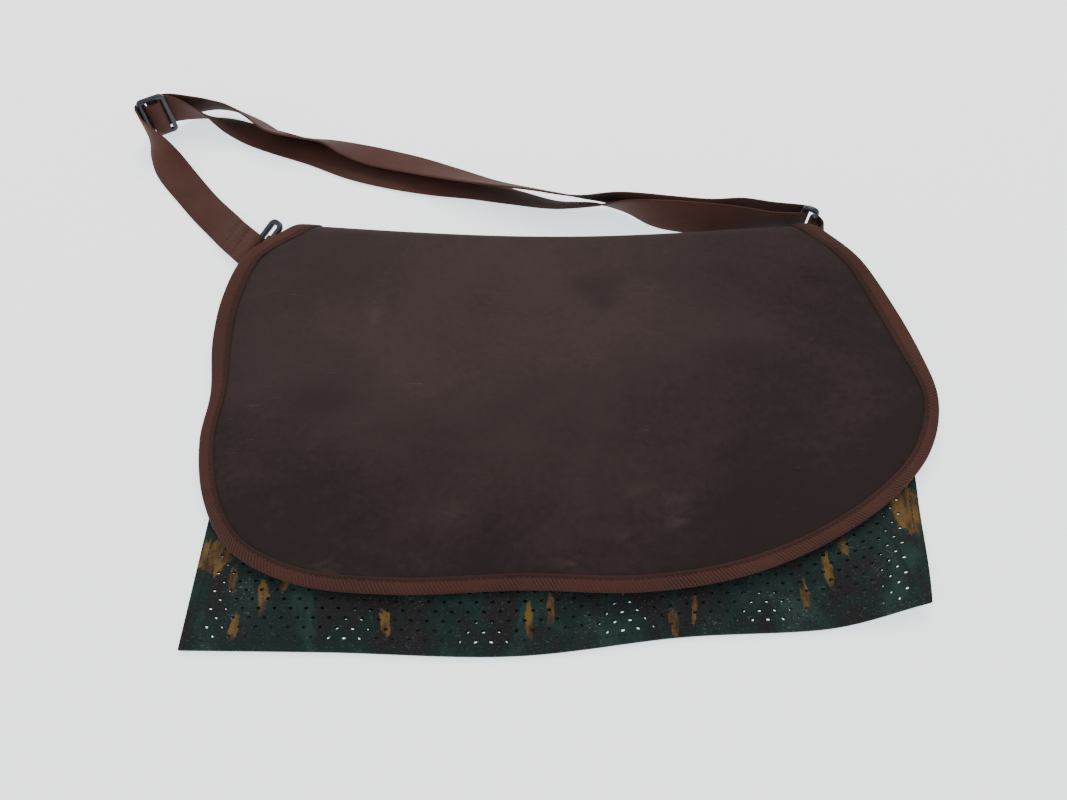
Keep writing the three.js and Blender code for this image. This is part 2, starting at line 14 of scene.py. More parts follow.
import bmesh
import bpy
import numpy as np
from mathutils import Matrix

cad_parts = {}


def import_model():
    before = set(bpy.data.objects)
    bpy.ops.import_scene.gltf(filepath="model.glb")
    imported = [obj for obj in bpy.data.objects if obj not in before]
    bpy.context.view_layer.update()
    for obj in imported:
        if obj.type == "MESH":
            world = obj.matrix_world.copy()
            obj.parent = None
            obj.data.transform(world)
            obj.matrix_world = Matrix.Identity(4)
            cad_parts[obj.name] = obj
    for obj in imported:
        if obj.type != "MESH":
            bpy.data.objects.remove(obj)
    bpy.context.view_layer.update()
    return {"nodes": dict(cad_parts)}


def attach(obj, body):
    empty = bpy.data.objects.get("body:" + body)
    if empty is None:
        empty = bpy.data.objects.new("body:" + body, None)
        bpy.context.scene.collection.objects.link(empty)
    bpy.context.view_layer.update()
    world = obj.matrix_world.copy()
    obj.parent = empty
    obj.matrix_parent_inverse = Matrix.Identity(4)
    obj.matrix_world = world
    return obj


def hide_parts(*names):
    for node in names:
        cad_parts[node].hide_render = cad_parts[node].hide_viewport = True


LOG = logging.getLogger("game_bag")
Array = np.ndarray
Piece = bpy.types.Object
Material = bpy.types.Material
NodeSocket = bpy.types.NodeSocket
Socket = Union[NodeSocket, float, Sequence[float]]
Source = Union[str, Socket]
Scale = Union[float, Sequence[float]]
MM = 0.001
BODY = "root"
UP = np.array([0.0, 0.0, 1.0])
SHARP_ANGLE = math.radians(50)
NO_MOVE = (0.0, 0.0, 0.0)
SHEEN_ROUGHNESS = 0.6
CELL_RING = np.array([[0, 0], [1, 0], [2, 0], [2, 1], [2, 2], [1, 2], [0, 2], [0, 1]])


class Slot(Enum):
    """The record's material slots."""

    MESH = "mesh"
    SUEDE = "suede"
    TAPE = "tape"
    WEBBING = "webbing"
    PLASTIC = "plastic"


# Shape helpers


def ramp(value: Array, start: float, end: float) -> Array:
    """Smooth step: 0 before start, 1 after end and 3s^2 - 2s^3 of the share s between."""
    share = np.clip((np.asarray(value) - start) / (end - start), 0.0, 1.0)
    return share * share * (3.0 - 2.0 * share)


def mix(first: Array, second: Array, share: Array) -> Array:
    """Straight blend from first to second."""
    return first + (second - first) * share


def unit(vectors: Array) -> Array:
    """Vectors scaled to length 1."""
    return vectors / np.linalg.norm(vectors, axis=-1, keepdims=True)


def facing(vector: Array, other: Array) -> Array:
    """The vector, or its opposite where that lies nearer the other one."""
    return vector if np.dot(vector, other) >= 0 else -vector


def waves(x: Array, y: Array, table: Sequence[tuple]) -> Array:
    """Sum of slanted sine waves, each a height and its lengths along x and y."""
    return sum(height * np.sin(x / along + y / up) for height, along, up in table)


def spline(points: Array, share: Array, even: bool = False) -> Array:
    """Smooth curve through points: between two of them a cubic whose end slopes come from their neighbours.

    Args:
        points: the points, one a row.
        share: places on the curve, 0 at the first point and 1 at the last.
        even: knots evenly spaced, and otherwise by the square roots of the chords.

    Returns:
        The curve's points, one for each share.
    """
    padded = np.vstack([2 * points[0] - points[1], points, 2 * points[-1] - points[-2]])
    place = np.clip(share, 0.0, 1.0) * (len(points) - 1)
    piece = np.minimum(place.astype(int), len(points) - 2)
    weight = (place - piece)[..., None]
    before, start, end, after = (padded[piece + k] for k in range(4))
    if even:
        leave = 0.5 * (end - before)
        arrive = 0.5 * (after - start)
    else:
        chords = (start - before, end - start, after - end)
        first, middle, last = (np.sqrt(np.linalg.norm(c, axis=-1, keepdims=True)) for c in chords)
        leave = (chords[0] / first - (end - before) / (first + middle)) * middle + chords[1]
        arrive = (chords[2] / last - (after - start) / (middle + last)) * middle + chords[1]
    square = 3 * (end - start) - 2 * leave - arrive
    cube = 2 * (start - end) + leave + arrive
    return start + weight * (leave + weight * (square + weight * cube))


def length_along(places: Array) -> Array:
    """Running length of a line of points, 0 at its first."""
    return np.concatenate([[0.0], np.cumsum(np.linalg.norm(np.diff(places, axis=0), axis=1))])


def spline_by_length(points: Array, share: Array, divisions: int = 200) -> Array:
    """Point of the smooth curve at a share of its length, by the running length of its chords.

    Args:
        points: the points that the curve passes through, one a row.
        share: places on the curve, as shares of its length.
        divisions: number of chords that measure it.

    Returns:
        The curve's points, one for each share.
    """
    grid = np.linspace(0.0, 1.0, divisions + 1)
    lengths = length_along(spline(points, grid))
    return spline(points, np.interp(share * lengths[-1], lengths, grid))


def slopes(place: Callable[[Array], Array], share: Array, step: float = 1e-4) -> Array:
    """Unit tangents of a curve, from two points a small step apart."""
    return unit(place(np.minimum(share + step, 1.0)) - place(np.maximum(share - step, 0.0)))


def grid_quads(rows: int, columns: int, round_columns: bool = False, round_rows: bool = False) -> Array:
    """Quads of a grid of vertices counted row by row.

    Args:
        rows: rows of vertices.
        columns: vertices in a row.
        round_columns: the last column joins the first.
        round_rows: the last row joins the first.

    Returns:
        Four vertex numbers for each quad.
    """
    row = np.arange(rows if round_rows else rows - 1)[:, None]
    column = np.arange(columns if round_columns else columns - 1)[None, :]
    next_row = (row + 1) % rows
    next_column = (column + 1) % columns
    corners = (row * columns + column, row * columns + next_column,
               next_row * columns + next_column, next_row * columns + column)
    return np.stack([np.broadcast_to(c, (row.size, column.size)).ravel() for c in corners], axis=1)


def end_caps(rows: int, columns: int) -> list:
    """The two faces that close a tube's first and last rows of vertices."""
    first = np.arange(columns)
    return [first[::-1].tolist(), (first + (rows - 1) * columns).tolist()]


def swept_uv(run: Array, outline: Array) -> Array:
    """UVs of a tube's quads: at each face corner the length along the path and round the profile.

    Args:
        run: running length at each row of the path, one more than the rows of quads.
        outline: running length at each point of the profile, one more than the quads in a row.

    Returns:
        One UV pair for each face corner.
    """
    row, column = (g.ravel() for g in np.indices((len(run) - 1, len(outline) - 1)))
    along = run[np.stack([row, row, row + 1, row + 1], axis=1)]
    around = outline[np.stack([column, column + 1, column + 1, column], axis=1)]
    return np.stack([along, around], axis=2).reshape(-1, 2)


def rounded_profile(width: float, thickness: float, radius: float, across: int = 1, bend: int = 4) -> Array:
    """Outline of a rectangle with quarter-circle corners, as rows of x and y in turning order.

    Args:
        width: size along x.
        thickness: size along y.
        radius: corner radius.
        across: number of steps along each long side.
        bend: number of steps round each corner.

    Returns:
        The outline's points.
    """
    turn = np.linspace(0.0, np.pi / 2, bend + 1)
    half = np.array([width / 2 - radius, thickness / 2 - radius])
    rows = []
    for quarter, sign in enumerate(((1, 1), (-1, 1), (-1, -1), (1, -1))):
        angle = turn + quarter * np.pi / 2
        rows.append(half * sign + radius * np.stack([np.cos(angle), np.sin(angle)], axis=1))
        if quarter in (0, 2) and across > 1:
            step = np.linspace(0.0, 1.0, across + 1)[1:-1, None]
            rows.append(rows[-1][-1] * (1 - 2 * step * np.array([1.0, 0.0])))
    return np.vstack(rows)


# Mesh helpers


def make_piece(name: str, places: Array, faces: list, corner_uv: Optional[Array] = None,
               smooth: bool = True, closed: bool = True) -> Piece:
    """Puts a mesh into the scene.

    Args:
        name: the piece's name.
        places: vertices in millimetres.
        faces: lists of vertex numbers.
        corner_uv: one UV pair for each face corner, in metres.
        smooth: smooth shading, with edges over the sharp angle kept sharp.
        closed: the mesh is a closed shell, whose faces are turned outwards.

    Returns:
        The new object, at the origin.
    """
    mesh = bpy.data.meshes.new(name)
    mesh.from_pydata((places * MM).tolist(), [], faces)
    if corner_uv is not None:
        layer = mesh.uv_layers.new(name="cloth")
        layer.data.foreach_set("uv", np.ascontiguousarray(corner_uv, dtype=np.float32).ravel())
    if closed:
        shell = bmesh.new()
        shell.from_mesh(mesh)
        bmesh.ops.recalc_face_normals(shell, faces=shell.faces)
        shell.to_mesh(mesh)
        shell.free()
    if smooth:
        mesh.shade_smooth()
        mesh.set_sharp_from_angle(angle=SHARP_ANGLE)
    piece = bpy.data.objects.new(name, mesh)
    bpy.context.scene.collection.objects.link(piece)
    return piece


def dress(piece: Piece, material: Material, slot: Slot, *nodes: str) -> Piece:
    """Gives a piece its finish and its place on the body, and hides the solids it stands for.

    Args:
        piece: the piece.
        material: its finish.
        slot: the record's slot; not used.
        nodes: solids that it replaces.

    Returns:
        The same piece.
    """
    piece.data.materials.clear()
    piece.data.materials.append(material)
    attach(piece, BODY)
    if nodes:
        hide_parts(*nodes)
    LOG.info("%s: %d faces", piece.name, len(piece.data.polygons))
    return piece


def thicken(piece: Piece, thickness: float) -> Piece:
    """Gives a sheet its thickness, half on each side.

    Args:
        piece: the sheet.
        thickness: its thickness in millimetres.

    Returns:
        The same piece.
    """
    solid = piece.modifiers.new("thickness", "SOLIDIFY")
    solid.thickness = thickness * MM
    solid.offset = 0.0
    return piece


@dataclass
class Frames:
    """Stations along a path: places, with unit directions along it, across it and through it."""

    at: Array
    along: Array
    across: Array
    through: Array

    @classmethod
    def of_path(cls, at: Array, along: Array, across: Array) -> "Frames":
        """Frames with across squared to the path and through at right angles to both."""
        across = unit(across - along * np.sum(across * along, axis=1, keepdims=True))
        return cls(at, along, across, np.cross(across, along))

    @classmethod
    def of_loop(cls, centre: Array, first: Array, second: Array, through: Array, loop: Array) -> "Frames":
        """Frames round a flat closed outline, with across pointing out of it.

        Args:
            centre: the outline's middle.
            first: direction of its x.
            second: direction of its y.
            through: direction at right angles to its plane.
            loop: its points, as rows of x and y.

        Returns:
            One frame for each point.
        """
        axes = np.stack([first, second])
        ahead = unit(np.roll(loop, -1, 0) - np.roll(loop, 1, 0))
        outward = np.stack([ahead[:, 1], -ahead[:, 0]], axis=1)
        return cls(centre + loop @ axes, ahead @ axes, outward @ axes, np.tile(through, (len(loop), 1)))

    def offset(self, across: Array, through: Array) -> Array:
        """Places beside the stations, by distances across and through."""
        return self.at + self.across * across + self.through * through

    def between(self, lengths: Array) -> "Frames":
        """Frames at distances along the path, by straight blends of the nearest two.

        Args:
            lengths: the distances.

        Returns:
            One frame for each distance.
        """
        run = length_along(self.at)
        fields = (self.at, self.along, self.across, self.through)
        blends = [[np.interp(lengths, run, field[:, k]) for k in range(3)] for field in fields]
        return Frames(*(np.stack(blend, axis=1) for blend in blends))


def sweep(name: str, frames: Frames, profile: Array, ring: bool = False) -> Piece:
    """Carries a closed profile along a path: vertex = place + across * x + through * y.

    Args:
        name: the piece's name.
        frames: the path's stations.
        profile: outline points, x across and y through.
        ring: the path closes on itself, and otherwise both ends are capped.

    Returns:
        The swept object, with UVs of path length and outline length.
    """
    stations, points = len(frames.at), len(profile)
    places = (frames.at[:, None] + frames.across[:, None] * profile[None, :, :1]
              + frames.through[:, None] * profile[None, :, 1:])
    run = length_along(np.vstack([frames.at, frames.at[:1]]) if ring else frames.at)
    corner_uv = swept_uv(run, length_along(np.vstack([profile, profile[:1]])))
    faces = grid_quads(stations, points, round_columns=True, round_rows=ring).tolist()
    if not ring:
        faces += end_caps(stations, points)
        ends = [np.stack([np.full(points, at), profile[:, 0]], axis=1) for at in (run[0], run[-1])]
        corner_uv = np.vstack([corner_uv, *ends])
    return make_piece(name, places.reshape(-1, 3), faces, corner_uv * MM)


@dataclass(frozen=True)
class Stitch:
    """One sewn stitch: a short thread, thick in its middle and arched over the cloth."""

    length: float = 2.3
    radius: float = 0.3
    lift: float = 0.1
    taper: float = 0.9
    sides: int = 6
    rings: int = 5

    def row(self, name: str, at: Array, along: Array, normal: Array) -> Piece:
        """Stitches at many places, each a tube along s from -1 to 1.

        Its radius is r * sqrt(1 - taper * s^2), and it is raised by lift * (1 - s^2).

        Args:
            name: the piece's name.
            at: the stitches' middles.
            along: their directions.
            normal: the cloth's outward normals.

        Returns:
            One object with every stitch.
        """
        along, normal = unit(along), unit(normal)
        side = np.cross(along, normal)
        s = np.linspace(-1.0, 1.0, self.rings)[:, None]
        angle = np.linspace(0.0, 2 * np.pi, self.sides, endpoint=False)[None, :]
        radius = self.radius * np.sqrt(1.0 - self.taper * s * s)
        reach = np.broadcast_to(s * self.length / 2, (self.rings, self.sides))
        high = radius * np.sin(angle) + self.lift * (1.0 - s * s)
        wide = radius * np.cos(angle)
        terms = ((along, reach), (normal, high), (side, wide))
        places = at[:, None, None] + sum(d[:, None, None] * t[None, :, :, None] for d, t in terms)
        starts = (np.arange(len(at)) * self.rings * self.sides)[:, None, None]
        quads = grid_quads(self.rings, self.sides, round_columns=True)
        ends = np.array(end_caps(self.rings, self.sides))
        faces = (starts + quads[None]).reshape(-1, 4).tolist()
        faces += (starts + ends[None]).reshape(-1, self.sides).tolist()
        return make_piece(name, places.reshape(-1, 3), faces)


# Finishes


def srgb(red: int, green: int, blue: int) -> tuple:
    """Linear colour from screen values, by the screen's standard curve.

    Args:
        red: red from 0 to 255.
        green: green from 0 to 255.
        blue: blue from 0 to 255.

    Returns:
        The colour with an alpha of 1.
    """
    screen = np.array([red, green, blue]) / 255.0
    linear = np.where(screen <= 0.04045, screen / 12.92, ((screen + 0.055) / 1.055) ** 2.4)
    return (*linear.tolist(), 1.0)


def ridge_scale(ridge: float) -> float:
    """Scale of even ridges that are a distance in millimetres apart."""
    return 0.1 * math.pi / (ridge * MM)


class Graph:
    """A material's nodes, with short calls for those that the finishes share."""

    def __init__(self, name: str, roughness: float, specular: float = 0.3, sheen: float = 0.0) -> None:
        """Starts a material with a principled shader and its even values.

        Args:
            name: the material's name.
            roughness: the shader's roughness.
            specular: its specular level.
            sheen: its sheen weight.
        """
        self.material = bpy.data.materials.new(name)
        self.material.use_nodes = True
        self.nodes = self.material.node_tree.nodes
        self.links = self.material.node_tree.links
        self.shader = self.nodes["Principled BSDF"]
        self.coordinates = self.nodes.new("ShaderNodeTexCoord")
        even = {"Roughness": roughness, "Specular IOR Level": specular,
                "Sheen Weight": sheen, "Sheen Roughness": SHEEN_ROUGHNESS}
        for key, value in even.items():
            self.shader.inputs[key].default_value = value

    def put(self, socket: NodeSocket, value: Socket) -> None:
        """Links a socket to another, or sets its value.

        Args:
            socket: the input.
            value: another node's output, or a plain value.
        """
        if isinstance(value, NodeSocket):
            self.links.new(value, socket)
        else:
            socket.default_value = value

    def node(self, kind: str, settings: Optional[dict] = None,
             inputs: Optional[dict] = None) -> bpy.types.Node:
        """Adds a node.

        Args:
            kind: the node's type.
            settings: its properties by name.
            inputs: its inputs by name or number.

        Returns:
            The node.
        """
        node = self.nodes.new(kind)
        for key, value in (settings or {}).items():
            setattr(node, key, value)
        for key, value in (inputs or {}).items():
            self.put(node.inputs[key], value)
        return node

    def vector(self, source: Source) -> Socket:
        """Object or UV coordinates by name, or others as they are."""
        return self.coordinates.outputs[source] if isinstance(source, str) else source

    def mapped(self, source: Source, scale: Sequence[float], turn: float = 0.0,
               move: Sequence[float] = NO_MOVE) -> NodeSocket:
        """Coordinates scaled, turned about Z and moved.

        Args:
            source: Object or UV by name, or other coordinates.
            scale: scale of each coordinate.
            turn: turn about Z.
            move: shift after the turn.

        Returns:
            The new coordinates.
        """
        inputs = {"Vector": self.vector(source), "Scale": scale,
                  "Rotation": (0.0, 0.0, turn), "Location": move}
        return self.node("ShaderNodeMapping", None, inputs).outputs["Vector"]

    def part(self, source: Source, axis: str) -> NodeSocket:
        """One number of some coordinates."""
        return self.node("ShaderNodeSeparateXYZ", None, {"Vector": self.vector(source)}).outputs[axis]

    def cloud(self, scale: Scale, detail: float = 2.0, rough: float = 0.5, twist: float = 0.0,
              turn: float = 0.0, move: Sequence[float] = NO_MOVE) -> NodeSocket:
        """Cloudy noise from 0 to 1 on Object coordinates.

        Args:
            scale: one scale for all directions, or one for each.
            detail: number of finer layers.
            rough: share of each finer layer.
            twist: how far the noise bends itself.
            turn: turn about Z.
            move: shift of the pattern.

        Returns:
            The noise.
        """
        scales = scale if isinstance(scale, tuple) else (scale, scale, scale)
        inputs = {"Vector": self.mapped("Object", scales, turn, move), "Scale": 1.0, "Detail": detail,
                  "Roughness": rough, "Distortion": twist}
        return self.node("ShaderNodeTexNoise", None, inputs).outputs["Fac"]

    def between(self, value: Socket, low: float, high: float) -> NodeSocket:
        """Smooth share of a value between low and high, kept in 0 to 1."""
        inputs = {"Value": value, "From Min": low, "From Max": high}
        return self.node("ShaderNodeMapRange", {"interpolation_type": "SMOOTHSTEP"}, inputs).outputs["Result"]

    def math(self, operation: str, first: Socket, second: Socket) -> NodeSocket:
        """One arithmetic step."""
        return self.node("ShaderNodeMath", {"operation": operation}, {0: first, 1: second}).outputs["Value"]

    def times(self, first: Socket, second: Socket) -> NodeSocket:
        """Product of two values."""
        return self.math("MULTIPLY", first, second)

    def plus(self, first: Socket, second: Socket, share: float) -> NodeSocket:
        """First and a share of second."""
        return self.math("ADD", first, self.times(second, share))

    def colours(self, share: Socket, first: Socket, second: Socket) -> NodeSocket:
        """Blend of two colours."""
        return self.node("ShaderNodeMix", {"data_type": "RGBA"}, {0: share, 6: first, 7: second}).outputs[2]

    def wave(self, source: Source, axis: str, scale: float, turn: float = 0.0) -> NodeSocket:
        """Even ridges across one axis, from 0 to 1.

        Args:
            source: the coordinates.
            axis: X or Y.
            scale: scale of the ridges.
            turn: turn about Z.

        Returns:
            The ridges.
        """
        settings = {"wave_type": "BANDS", "bands_direction": axis, "wave_profile": "SIN"}
        inputs = {"Vector": self.mapped(source, (1, 1, 1), turn), "Scale": scale,
                  "Distortion": 0.0, "Detail": 1.0}
        return self.node("ShaderNodeTexWave", settings, inputs).outputs["Fac"]

    def shaken(self, scale: Sequence[float], amount: Sequence[float]) -> NodeSocket:
        """Object coordinates moved by a noise, for ragged outlines.

        Args:
            scale: the noise's scales.
            amount: the most that it moves each coordinate, there and back.

        Returns:
            The moved coordinates.
        """
        inputs = {"Vector": self.mapped("Object", scale), "Scale": 1.0, "Detail": 4.0, "Roughness": 0.65}
        noise = self.node("ShaderNodeTexNoise", None, inputs).outputs["Color"]
        middle = {0: noise, 1: (0.5, 0.5, 0.5)}
        shake = self.node("ShaderNodeVectorMath", {"operation": "SUBTRACT"}, middle).outputs["Vector"]
        moved = {0: shake, 1: amount, 2: self.vector("Object")}
        return self.node("ShaderNodeVectorMath", {"operation": "MULTIPLY_ADD"}, moved).outputs["Vector"]

    def spot(self, centre: tuple, reach: tuple, source: Source = "Object") -> NodeSocket:
        """A soft oval on the piece: 1 at its centre and 0 at its reach.

        Args:
            centre: its x and y.
            reach: its half sizes along x and y.
            source: the coordinates.

        Returns:
            The oval.
        """
        scale = tuple(1.0 / r for r in reach) + (0.0,)
        move = tuple(-c / r for c, r in zip(centre, reach)) + (0.0,)
        oval = self.mapped(source, scale, 0.0, move)
        far = self.node("ShaderNodeVectorMath", {"operation": "LENGTH"}, {0: oval}).outputs["Value"]
        return self.between(far, 1.0, 0.0)

    def spots(self, places: Array, source: Source = "Object") -> NodeSocket:
        """The greatest of several soft ovals.

        Args:
            places: rows of x, y and the two reaches in millimetres.
            source: the coordinates.

        Returns:
            The ovals' greatest value.
        """
        share, *others = [self.spot(tuple(row[:2]), tuple(row[2:]), source) for row in (places * MM).tolist()]
        for oval in others:
            share = self.math("MAXIMUM", share, oval)
        return share

    def finish(self, colour: Socket, height: Optional[Socket] = None, depth: float = 0.2,
               strength: float = 1.0) -> Material:
        """Connects the colour and a bump.

        Args:
            colour: the base colour.
            height: the bump's height from 0 to 1.
            depth: the bump's depth in millimetres.
            strength: the bump's strength.

        Returns:
            The finished material.
        """
        self.put(self.shader.inputs["Base Color"], colour)
        if height is not None:
            inputs = {"Height": height, "Strength": strength, "Distance": depth * MM}
            bump = self.node("ShaderNodeBump", None, inputs)
            self.links.new(bump.outputs["Normal"], self.shader.inputs["Normal"])
        return self.material


@dataclass(frozen=True)
class CamouflageCloth:
    """Knitted mesh printed with greens, grey-brown clouds and ochre runs, with a paler reverse that is also
    painted light seen through the holes.
    """

    runs: Array
    green: tuple = srgb(22, 37, 34)
    light_green: tuple = srgb(32, 52, 47)
    cloud: tuple = srgb(31, 28, 29)
    ochre: tuple = srgb(106, 80, 36)
    rust: tuple = srgb(60, 42, 30)
    # Bluish grey of print that wear has washed out, and of painted sheen where light reflects off the knit.
    faded_and_sheen: tuple = srgb(58, 68, 67)
    # Painted glint: the pale colour of light glinting on the threads.
    thread: tuple = srgb(104, 118, 116)
    # Paler unprinted reverse, made pale enough to paint the light seen through the holes.
    reverse: tuple = srgb(118, 128, 124)
    shift_lean: float = 0.3
    fuzz_scale: float = 420.0
    patch_scale: tuple = (34, 22, 1)
    light_green_bounds: tuple = (0.5, 0.36)
    cloud_fuzz: float = 0.16
    cloud_bounds: tuple = (0.58, 0.68)
    loose_scale: tuple = (70, 16, 1)
    loose_bounds: tuple = (0.66, 0.85)
    shake_scale: tuple = (200, 80, 1)
    shake_reach: tuple = (0.008, 0.03, 0.0)
    streak_scale: tuple = (330, 45, 1)
    streak_share: float = 0.6
    run_fuzz: float = 0.45
    run_bounds: tuple = (0.76, 0.92)
    tone_scale: tuple = (150, 60, 1)
    ochre_bounds: tuple = (0.36, 0.62)
    # Patches of wear and of painted sheen.
    wear_and_sheen_scale: tuple = (30, 30, 1)
    wear_and_sheen_bounds: tuple = (0.5, 0.8)
    wear_and_sheen_share: float = 0.4
    # Painted glints, as small spots.
    glint_scale: tuple = (700.0, 1050.0, 700.0)
    glint_bounds: tuple = (0.62, 0.72)
    glint_least: float = 0.15
    reverse_bounds: tuple = (0.3, 0.7)
    hem_bounds: tuple = (0.096, 0.09)
    knit_scale: tuple = (300.0, 420.0)
    knit_fuzz: float = 0.6

    def printed(self, graph: Graph, fuzz: NodeSocket, move: tuple) -> NodeSocket:
        """Two greens, then ragged clouds, then ochre runs at their places and a few loose ones.

        Args:
            graph: the material's nodes.
            fuzz: fine noise that frays the edges.
            move: shift of the pattern.

        Returns:
            The printed colour.
        """
        patch = graph.cloud(self.patch_scale, detail=4.0, rough=0.6, twist=0.7, move=move)
        ground = graph.colours(graph.between(patch, *self.light_green_bounds), self.green, self.light_green)
        ragged = graph.plus(patch, fuzz, self.cloud_fuzz)
        ground = graph.colours(graph.between(ragged, *self.cloud_bounds), ground, self.cloud)
        streak = graph.cloud(self.streak_scale, detail=3.0, rough=0.55, twist=0.2, move=move)
        loose = graph.cloud(self.loose_scale, rough=0.45, twist=0.35, move=move)
        placed = graph.spots(self.runs, graph.shaken(self.shake_scale, self.shake_reach))
        runs = graph.math("MAXIMUM", placed, graph.between(loose, *self.loose_bounds))
        ragged = graph.plus(graph.plus(runs, streak, self.streak_share), fuzz, self.run_fuzz)
        tone = graph.cloud(self.tone_scale, detail=4.0, rough=0.65, move=move)
        warm = graph.colours(graph.between(tone, *self.ochre_bounds), self.rust, self.ochre)
        return graph.colours(graph.between(ragged, *self.run_bounds), ground, warm)

    def inside(self, graph: Graph, inner_side: float) -> NodeSocket:
        """The reverse's share: 1 on faces that point inward, up to the hem where the cloth is turned over.

        Args:
            graph: the material's nodes.
            inner_side: 1 where the unprinted side faces up, and -1 where it faces down.

        Returns:
            The share.
        """
        upward = graph.part(graph.node("ShaderNodeNewGeometry").outputs["True Normal"], "Z")
        inward = graph.between(graph.times(upward, inner_side), *self.reverse_bounds)
        return graph.times(inward, graph.between(graph.part("Object", "Y"), *self.hem_bounds))

    def material(self, name: str, shift: float, inner_side: float) -> Material:
        """The print, paled in patches by wear and painted sheen, with painted glints on the threads, on a
        fine knit.

        Args:
            name: the material's name.
            shift: moves the pattern sideways, so that two panels differ.
            inner_side: 1 where the cloth's unprinted side faces up, and -1 where it faces down.

        Returns:
            The material.
        """
        graph = Graph(name, roughness=0.85, specular=0.15, sheen=0.04)
        fuzz = graph.cloud(self.fuzz_scale, detail=3.0, rough=0.6)
        colour = self.printed(graph, fuzz, (shift, shift * self.shift_lean, 0.0))
        # Patches where wear washes out the print and painted sheen lightens it.
        wear_and_sheen = graph.between(graph.cloud(self.wear_and_sheen_scale, detail=5.0, rough=0.7), *self.wear_and_sheen_bounds)
        colour = graph.colours(graph.times(wear_and_sheen, self.wear_and_sheen_share), colour, self.faded_and_sheen)
        # Painted glints: small pale spots of light on the threads, mostly in the patches of painted sheen.
        glint_spots = graph.between(graph.cloud(self.glint_scale, detail=1.0), *self.glint_bounds)
        glint = graph.times(glint_spots, graph.math("ADD", wear_and_sheen, self.glint_least))
        colour = graph.colours(glint, colour, self.thread)
        # Paler reverse on inward faces, which also paints the light seen through the holes.
        colour = graph.colours(self.inside(graph, inner_side), colour, self.reverse)
        knit = [graph.wave("Object", axis, scale) for axis, scale in zip("XY", self.knit_scale)]
        loops = graph.times(*knit)
        return graph.finish(colour, graph.plus(loops, fuzz, self.knit_fuzz), depth=0.18, strength=0.7)


@dataclass(frozen=True)
class WornSuede:
    """Dark brown suede, with a painted highlight toward the fold, dark marks and pale scuffs."""

    scuffs: Array
    marks: Array
    # Lightest brown, reached mostly under the painted highlight toward the fold.
    pale_tone: tuple = srgb(66, 51, 49)
    middle: tuple = srgb(53, 41, 39)
    deep: tuple = srgb(39, 30, 28)
    scuff: tuple = srgb(98, 82, 79)
    broad_scale: tuple = (9, 13, 9)
    broad_share: float = 0.55
    fine_scale: float = 240.0
    fine_share: float = 0.22
    # Painted highlight: a soft oval that lightens the suede toward the fold, where light glances off it.
    painted_highlight_spot: tuple = ((-0.04, 0.1), (0.34, 0.26))
    painted_highlight_share: float = 0.34
    # Painted shade: a soft oval that darkens the suede at the lower right, where less light falls.
    painted_shade_spot: tuple = ((0.17, -0.05), (0.2, 0.15))
    painted_shade_share: float = 0.1
    middle_bounds: tuple = (0.34, 0.58)
    pale_tone_bounds: tuple = (0.5, 0.86)
    mark_share: float = 0.45
    hair_scale: tuple = (60, 420, 1)
    hair_bounds: tuple = (0.64, 0.76)
    hair_share: float = 0.4
    patch_scale: tuple = (16, 16, 1)
    patch_move: tuple = (0.7, 0.2, 0.0)
    patch_bounds: tuple = (0.5, 0.66)
    smear_scale: tuple = (60, 90, 1)
    smear_bounds: tuple = (0.4, 0.7)
    smear_share: float = 0.22
    nap_scale: tuple = (1500.0, 2100.0, 1500.0)
    nap_fine: float = 1.2

    def pale(self, graph: Graph) -> NodeSocket:
        """Share of the pale scuffs: hair lines in patches, and smears at their places.

        Args:
            graph: the material's nodes.

        Returns:
            The share.
        """
        patchy = graph.between(graph.cloud(self.patch_scale, move=self.patch_move), *self.patch_bounds)
        lines = graph.cloud(self.hair_scale, detail=3.0, rough=0.6, turn=0.5)
        hair = graph.times(graph.between(lines, *self.hair_bounds), patchy)
        smear = graph.cloud(self.smear_scale, detail=5.0, rough=0.7, turn=0.3)
        smear = graph.times(graph.spots(self.scuffs), graph.between(smear, *self.smear_bounds))
        return graph.math("MAXIMUM", graph.times(hair, self.hair_share), graph.times(smear, self.smear_share))

    def material(self) -> Material:
        """Broad and fine clouds of three browns with painted light and shade, marks and scuffs as soft ovals,
        and a short nap.

        Returns:
            The material.
        """
        graph = Graph("worn_suede", roughness=0.95, specular=0.12, sheen=0.05)
        broad = graph.cloud(self.broad_scale, detail=6.0, rough=0.66, twist=0.4)
        fine = graph.cloud(self.fine_scale, detail=4.0, rough=0.65)
        # Painted highlight toward the fold, over random broad and fine clouds.
        light = graph.times(graph.spot(*self.painted_highlight_spot), self.painted_highlight_share)
        light = graph.plus(light, broad, self.broad_share)
        light = graph.plus(light, fine, self.fine_share)
        # Painted shade at the lower right.
        light = graph.plus(light, graph.spot(*self.painted_shade_spot), -self.painted_shade_share)
        colour = graph.colours(graph.between(light, *self.middle_bounds), self.deep, self.middle)
        colour = graph.colours(graph.between(light, *self.pale_tone_bounds), colour, self.pale_tone)
        colour = graph.colours(graph.times(graph.spots(self.marks), self.mark_share), colour, self.deep)
        colour = graph.colours(self.pale(graph), colour, self.scuff)
        nap = graph.cloud(self.nap_scale, rough=0.6)
        return graph.finish(colour, graph.plus(nap, fine, self.nap_fine), depth=0.22, strength=0.55)


